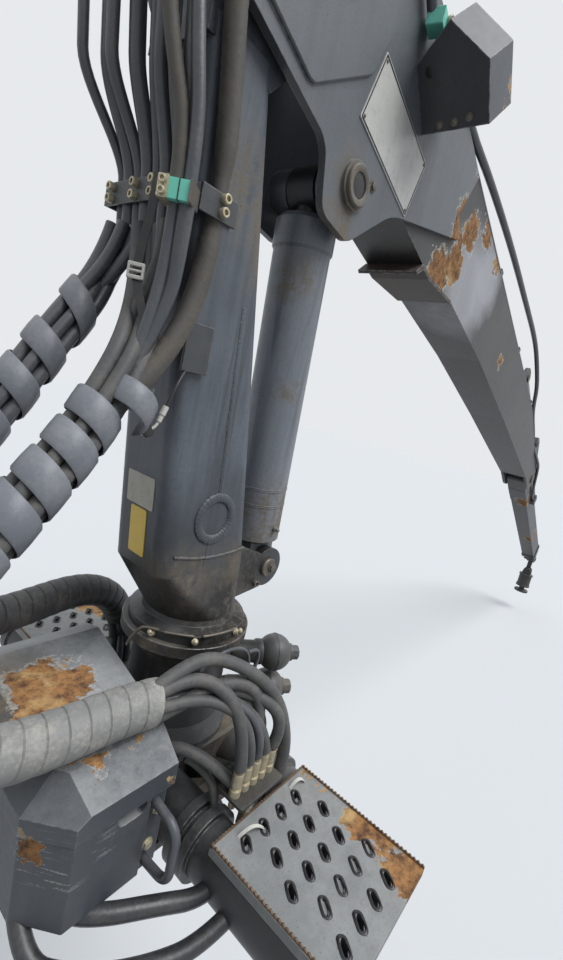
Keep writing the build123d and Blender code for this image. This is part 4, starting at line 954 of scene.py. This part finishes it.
ring_x, ring_z, ring_r, ring_half = -0.068, 0.833, 0.0555, 0.0125
angle = np.linspace(0, 2 * np.pi, 181)
section = np.array([(-1.0, 0.0), (-0.8, 0.55), (-0.25, 0.85), (0.35, 0.8), (0.85, 0.5), (1.0, 0.0),
    (0.0, -0.35)])
drops = 1 + 0.05 * np.sin(angle * 34)[:, None] + np.random.default_rng(3).normal(0, 0.02, (181, 7))
drops[-1] = drops[0]
r = ring_r + ring_half * section[None, :, 0] * drops
z = ring_z + r * np.sin(angle)[:, None]
ring = np.stack([ring_x + r * np.cos(angle)[:, None], near_face_y(z) - 0.0075 * section[None, :, 1] * drops,
    z], -1)


def seam(x0, z0, x1, z1, half, high, count, seed):
    """A raised strip of weld along the near face: a low arched section with a wavering edge."""
    z = np.linspace(z0, z1, count)[:, None]
    x = np.linspace(x0, x1, count)[:, None] + np.random.default_rng(seed).normal(0, 0.0006, (count, 1))
    part = np.array([-1.0, -0.5, 0.0, 0.5, 1.0, 0.0])[None]
    rise = np.array([0.0, 0.8, 1.0, 0.8, 0.0, -0.3])[None]
    ripple = 1 + 0.1 * np.sin(np.arange(count) * 1.3)[:, None]
    return np.stack([x + half * part, near_face_y(z) - high * rise * ripple, np.broadcast_to(z, (count, 6))],
        -1)


joint_x = np.linspace(-0.18, 0.062, 90)
joint_line = np.stack([joint_x, np.full(90, -0.1045),
    0.728 + 0.9 * (joint_x + 0.04) ** 2 + np.random.default_rng(8).normal(0, 0.0006, 90)], 1)
grid_mesh("pillar_welds", [ring, seam(-0.066, 0.892, -0.102, 1.34, 0.0075, 0.0026, 200, 4),
    seam(-0.074, 0.772, -0.078, 0.705, 0.0022, 0.0012, 40, 5), tube(joint_line, 0.0045, 8)], pillar_paint,
    "pillar")

# %% [markdown]
# ## The step plate's teeth
# The plate is punched so that each hole keeps a raised, torn rim, which gives boots a grip. A rim is one
# small ring whose section rises and falls as it goes round. The plate's long edges are cut like a saw.

# %% Step rims and saw edges
def punched(x, y, top, long=0.0175, wide=0.0085, turn=np.radians(35), around=20):
    """A torn rim round a slot: p(a, b) goes round a rounded slot in a and round a thin section in b."""
    a = np.linspace(0, 2 * np.pi, around + 1)[:, None]
    section_out = np.array([0.0045, 0.0045, 0.0012, -0.0012, -0.0062, -0.004])[None]
    section_up = np.array([-0.001, 0.0012, 0, 0, -0.016, -0.016])[None]
    torn = np.array([0, 0, 1, 1, 0, 0])[None]
    z = top + section_up + torn * (0.0022 + 0.003 * np.maximum(np.sin(2 * a - 0.6), 0))
    c, s = np.cos(a), np.sin(a)
    px = np.sign(c) * np.abs(c) ** 0.6 * (long + section_out)
    py = np.sign(s) * np.abs(s) ** 0.9 * (wide + section_out) + 0.45 * wide * np.tanh(4 * c)
    ct, st = np.cos(turn), np.sin(turn)
    return np.stack([x + px * ct - py * st, y + px * st + py * ct, z], -1)


def saw(start, end, teeth, half=0.0022, high=0.0075):
    """A strip along an edge whose top runs up and down once per tooth."""
    t = np.linspace(0, 1, teeth * 2 + 1)[:, None]
    start, end = np.asarray(start, float), np.asarray(end, float)
    line = start + t * (end - start)
    across = np.cross((end - start) / np.linalg.norm(end - start), (0, 0, 1))
    top = np.where(np.arange(teeth * 2 + 1) % 2, high, high * 0.35)
    corners = [line - across * half - (0, 0, 0.004), line + across * half - (0, 0, 0.004),
        line + across * half + top[:, None] * (0, 0, 1), line - across * half + top[:, None] * (0, 0, 1)]
    return np.stack(corners, 1)


for name in ("near", "far"):
    low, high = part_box("step_plate_" + name)
    middle, top = (low + high) / 2, high.z
    rims = [punched(middle.x + 0.03 * (row % 2) - 0.015 + 0.062 * (k - 1.5), middle.y - 0.13 + 0.065 * row,
        top) for row in range(5) for k in range(4)]
    # The rims and the walls they carry down into each slot are black: painted shade of the holes.
    grid_mesh("step_hole_shade_rims_" + name, rims, black_steel_and_hole_shade, "base", caps=False)
    left, right, far = low.x + 0.003, high.x - 0.003, high.y - 0.003
    edge_lines = [((left, low.y, top), (left, high.y, top)), ((right, low.y, top), (right, high.y, top)),
        ((low.x, far, top), (high.x, far, top))]
    grid_mesh("step_saw_" + name, [saw(a, b, 34) for a, b in edge_lines], rust_edge, "base",
        smooth=False)
    print("step rims", name, len(rims))

# Two white cable ties drawn through the plate's holes
ties = [[(-0.135, -0.432, 0.196), (-0.12, -0.438, 0.212), (-0.09, -0.448, 0.214), (-0.072, -0.455, 0.196)],
    [(0.062, -0.428, 0.196), (0.078, -0.43, 0.212), (0.1, -0.436, 0.212), (0.112, -0.44, 0.196)]]
grid_mesh("step_ties", [ribbon(curve_points(tie, 16), (0.3, 0.95, 0.0), 0.0042) for tie in ties], strap_white,
    "base")

# %% [markdown]
# ## Hoses and wires at the base and on the boom
# Return hoses arch from the sleeve's end to the bracket, a thin cable loops below the flange, two thick
# hoses leave the valve housing from below, and one hose follows the boom's near top edge. Each is a tube
# along a smooth curve, so one function makes a whole set from rows of a radius and a route.

# %% Loose hoses
def hose_set(name, rows, finish, body):
    """One piece from rows of (radius, route)."""
    return grid_mesh(name, [tube(curve_points(route, 44), r, 14) for r, route in rows], finish, body)


tube_middle = middle_of("slew_tube_front")
print("front tube", [round(v, 3) for v in tube_middle])
hose_set("return_hoses", [
    (0.016, [(-0.3, -0.232, 0.5), (-0.2, -0.236, 0.555), (-0.1, -0.27, 0.545), (0.02, -0.345, 0.455),
        (0.066, -0.384, 0.31), (0.06, -0.386, 0.2), (0.055, -0.38, 0.09)]),
    (0.014, [(-0.245, -0.19, 0.29), (-0.205, -0.225, 0.33), (-0.16, -0.29, 0.325), (-0.11, -0.345, 0.275),
        (-0.072, -0.366, 0.225), (-0.065, -0.366, 0.19)]),
    (0.01, [(-0.17, -0.26, 0.3), (-0.13, -0.3, 0.27), (-0.11, -0.33, 0.2), (-0.1, -0.33, 0.12)]),
], hose_dusty, "base")
hose_set("flange_cable", [
    (0.0045, [(-0.1, -0.19, 0.46), (-0.075, -0.195, 0.492), (0.0, -0.2, 0.5), (0.062, -0.2, 0.47),
        (0.075, -0.205, 0.42), (0.068, -0.21, 0.4)]),
    (0.0045, [(0.066, -0.2, 0.462), (0.105, -0.2, 0.462), (0.12, -0.2, 0.43), (0.112, -0.2, 0.39),
        (0.085, -0.205, 0.385)]),
    (0.0075, [(0.06, -0.205, 0.378), (0.085, -0.2, 0.385), (0.118, -0.195, 0.395)]),
], hose_rubber, "base")
hose_set("lube_pipes", [
    (0.004, [(-0.2, -0.01, 0.47), (-0.19, -0.03, 0.53), (-0.165, -0.06, 0.532), (-0.155, -0.07, 0.529)]),
    (0.004, [(-0.148, -0.085, 0.529), (-0.12, -0.118, 0.529), (-0.095, -0.138, 0.528)]),
    (0.004, [(-0.075, -0.15, 0.528), (-0.03, -0.166, 0.529), (0.02, -0.166, 0.529)]),
], pin_steel, "base")
hose_set("housing_hoses", [
    (0.019, [(-0.44, -0.18, 0.16), (-0.45, -0.27, 0.11), (-0.391, -0.33, 0.112), (-0.3, -0.38, 0.105),
        (-0.203, -0.425, 0.08), (tube_middle.x, -0.43, tube_middle.z)]),
    (0.019, [(-0.5, -0.18, 0.16), (-0.53, -0.28, 0.08), (-0.46, -0.35, 0.05), (-0.36, -0.42, 0.04),
        (-0.24, -0.48, 0.05), (tube_middle.x, -0.49, tube_middle.z)]),
], hose_old, "base")
past_boom = [(2.7, -0.13, 0.475), (2.95, -0.13, 0.42), (3.12, -0.112, 0.37), (3.3, -0.098, 0.336),
    (3.6, -0.098, 0.2845), (3.7, -0.098, 0.25)]
hose_set("boom_side_hose", [
    (0.014, [(0.43, -0.15, 2.15), (0.6, -0.14, 2.18), (0.75, -0.122, 2.156), (1.035, -0.121, 2.132),
        (1.526, -0.12, 2.053), (2.0, -0.118, 1.955), (2.478, -0.122, 1.844),
        *(on_boom(*place) for place in past_boom)]),
    (0.014, [(0.3, -0.15, 2.185), (0.255, -0.15, 2.23), (0.215, -0.15, 2.29), (0.19, -0.15, 2.36)]),
], hose_rubber, "main_boom")

# %% Clamp above the hood and the sign's border
grid_mesh("hood_clamp", [slab((0.318, -0.16, 2.17), (0.026, 0.022, 0.02), 0.002, 0.2)], turquoise,
    "main_boom", smooth=False)
grid_mesh("hood_clamp_screws", [socket_screw((x, -0.182, 2.182), (0, -1, 0), 0.0085, 0.01)
    for x in (0.335, 0.356)], cream_zinc, "main_boom")


def sign_corners(inset):
    """The sign's four corners, pulled in by inset, in order round it."""
    half_u, half_v = 0.1675 - inset, 0.088 - inset
    return [on_boom(0.36 + u * half_u, -0.1336, -0.062 + v * half_v) for u, v in CORNERS]


inner = sign_corners(0.005)
grid_mesh("sign_border", [ribbon([inner[i], inner[(i + 1) % 4]], (0, 1, 0), 0.0005, 0.0016)
    for i in range(4)], ink_and_hole_shade, "main_boom", smooth=False)

# %% [markdown]
# ## Small fittings, one table
# Grease nipples, bolts, rings and caps are turned profiles too. A table says what each is, where it sits
# and which way it points, and a loop makes one piece per finish and body.

# %% Fittings
def nipple(centre, axis, size):
    """A grease nipple or screwed fitting: hexagon, neck and ball."""
    return [turned([(0, size), (size * 1.1, size), (size * 1.15, size * 0.55), (size * 1.6, size * 0.5),
        (size * 1.8, size * 0.72), (size * 2.2, size * 0.7), (size * 2.5, size * 0.4), (size * 2.55, 0.0001)],
        centre, axis, 12)]


def cap_screw(centre, axis, size):
    """A socket screw with a head as high as it is thick."""
    return [socket_screw(centre, axis, size, size * 1.1)]


def hex_bolt(centre, axis, size):
    """A hexagon head on a washer."""
    return hex_head(centre, axis, size, size * 0.75, twist=0.3)


def groove(centre, axis, size):
    """A turned seam: a low ridge on each side of a narrow groove."""
    return [turned([(-0.0045, size - 0.002), (-0.004, size + 0.0009), (-0.001, size + 0.0009),
        (0.0, size - 0.0015), (0.001, size + 0.0009), (0.004, size + 0.0009), (0.0045, size - 0.002)], centre,
        axis, 48)]


def bulb_cap(at, axis, size):
    """An accumulator's seam round the bulb and its castle cap."""
    belt = turned([(0.293, size - 0.001), (0.2935, size + 0.0015), (0.3005, size + 0.0015),
        (0.301, size - 0.001)], at, axis, 36)
    end = turned([(0.34, 0.026), (0.352, 0.027), (0.353, 0.0001)], at, axis)
    teeth = turned([(0.352, 0.0225), (0.374, 0.0225), (0.376, 0.019), (0.376, 0.0001)], at, axis, 8)
    return [belt, end, teeth]


def neck(at, axis, size):
    """The thick neck that carries an accumulator."""
    return [turned([(0.15, 0.0001), (0.152, size * 0.9), (0.17, size), (0.228, size), (0.234, size * 1.14),
        (0.25, size * 1.14), (0.252, 0.0001)], at, axis, 28)]


def cap(centre, axis, size):
    """A low domed disc."""
    return [turned([(0, size), (0.0012, size), (0.0018, size * 0.8), (0.002, 0.0001)], centre, axis, 20)]


def rim(centre, axis, size):
    """A wide bevelled ring, its inner wall falling to the centre."""
    return [turned([(-0.006, size * 1.22), (0.004, size * 1.2), (0.007, size * 1.12), (0.007, size * 0.86),
        (0.004, size * 0.74), (-0.006, size * 0.72)], centre, axis, 40)]


def pipe_end(centre, axis, size):
    """A short fitting under a bracket: nut, then a tapered pipe."""
    return [turned([(0, size * 1.2), (0.016, size * 1.2), (0.017, size * 0.9), (0.055, size * 0.85),
        (0.075, size * 0.95), (0.076, 0.0001)], centre, axis, 16)]


NEAR, DOWN = (0, -1, 0), (0, 0, -1)
BULB_AXIS = np.array([np.cos(np.radians(34)), -np.sin(np.radians(34)), 0])
BOSS, lift_pin_y = np.array(middle_of("lift_pins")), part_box("lift_pins")[0].y
print("boss", BOSS.round(4), round(lift_pin_y, 4))
HOOD_FACE = (-0.6947, 0, -0.7193)
lift_foot_at, lift_axis = np.array([0.225, 0, 0.64]), np.array([-0.05948, 0, 0.99823])
LOW_BULB, HIGH_BULB = (0, 0, 0.258), (0, 0, 0.382)
FITTINGS = (
    ("flange_nipples", "slew_column", cream_zinc, "zinc_fitting",
        (nipple, (-0.16, -0.054, 0.514), (-0.8, -0.25, 0.55), 0.0085),
        (nipple, (-0.092, -0.14, 0.514), (-0.5, -0.75, 0.45), 0.0085),
        (nipple, (0.03, -0.16, 0.516), (0.6, -0.7, 0.35), 0.01)),
    ("pillar_bolts", "lift_foot", pin_steel, "pin_steel",
        (cap_screw, (0.172, -0.0855, 0.599), NEAR, 0.0105)),
    ("root_bolts", "root_plate_near", pin_steel, "pin_steel",
        (hex_bolt, (0.244, -0.13, 1.749), NEAR, 0.0115)),
    ("hood_bolts", "guard_hood", pin_steel, "pin_steel",
        (hex_bolt, (0.4173, -0.1829, 1.9823), HOOD_FACE, 0.0085),
        (hex_bolt, (0.4169, -0.2256, 1.9827), HOOD_FACE, 0.0085),
        (hex_bolt, (0.4133, -0.2666, 1.9862), HOOD_FACE, 0.0085)),
    ("valve_bolts", "valve_housing", cream_zinc, "zinc_fitting",
        (hex_bolt, (-0.279, -0.308, 0.272), NEAR, 0.01),
        (hex_bolt, (-0.29, -0.308, 0.188), NEAR, 0.011)),
    ("barrel_rings", "lift_barrel", barrel_paint, "crane_paint",
        (groove, lift_foot_at + lift_axis * 0.248, lift_axis, 0.08),
        (groove, lift_foot_at + lift_axis * 0.198, lift_axis, 0.08),
        (nipple, lift_foot_at + lift_axis * 0.128 + (0.0, -0.079, 0.0), NEAR, 0.0085)),
    ("accumulator_necks", "accumulators", base_paint, "crane_paint",
        (neck, HIGH_BULB, BULB_AXIS, 0.034), (neck, LOW_BULB, BULB_AXIS, 0.034)),
    ("accumulator_caps", "accumulators", accumulator_paint, "crane_paint",
        (bulb_cap, HIGH_BULB, BULB_AXIS, 0.056), (bulb_cap, LOW_BULB, BULB_AXIS, 0.056)),
    ("sign_rivets", "boom_sign", pin_steel, "pin_steel",
        *((cap, at, NEAR, 0.004) for at in sign_corners(0.013))),
    ("lift_pin_rims", "root_plate_near", root_paint, "crane_paint",
        (rim, (BOSS[0], lift_pin_y, BOSS[2]), NEAR, 0.04)),
    # A black disc over the lift pin's end: painted shade of a hole.
    ("lift_pin_hole", "root_plate_near", ink_and_hole_shade, "pin_steel",
        (cap, (BOSS[0], lift_pin_y - 0.0005, BOSS[2]), NEAR, 0.0285)),
    # A black disc on the hood: painted shade of a hole.
    ("hood_hole", "guard_hood", ink_and_hole_shade, "crane_paint",
        (cap, (0.3317, -0.1653, 2.065), HOOD_FACE, 0.0125)),
    ("ear_bolt", "lift_foot", pin_steel, "pin_steel", (hex_bolt, (0.235, -0.0905, 0.64), NEAR, 0.0125)),
    ("bracket_tube", "fitting_bracket", cream_zinc, "zinc_fitting",
        (pipe_end, (-0.04, -0.372, 0.19), DOWN, 0.0165)))
for name, carrier, finish, slot_name, *rows in FITTINGS:
    made = [grid for kind, centre, axis, size in rows for grid in kind(centre, axis, size)]
    grid_mesh(name, made, finish, nodes[carrier]["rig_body"])
    print(name, len(rows), "on", carrier)
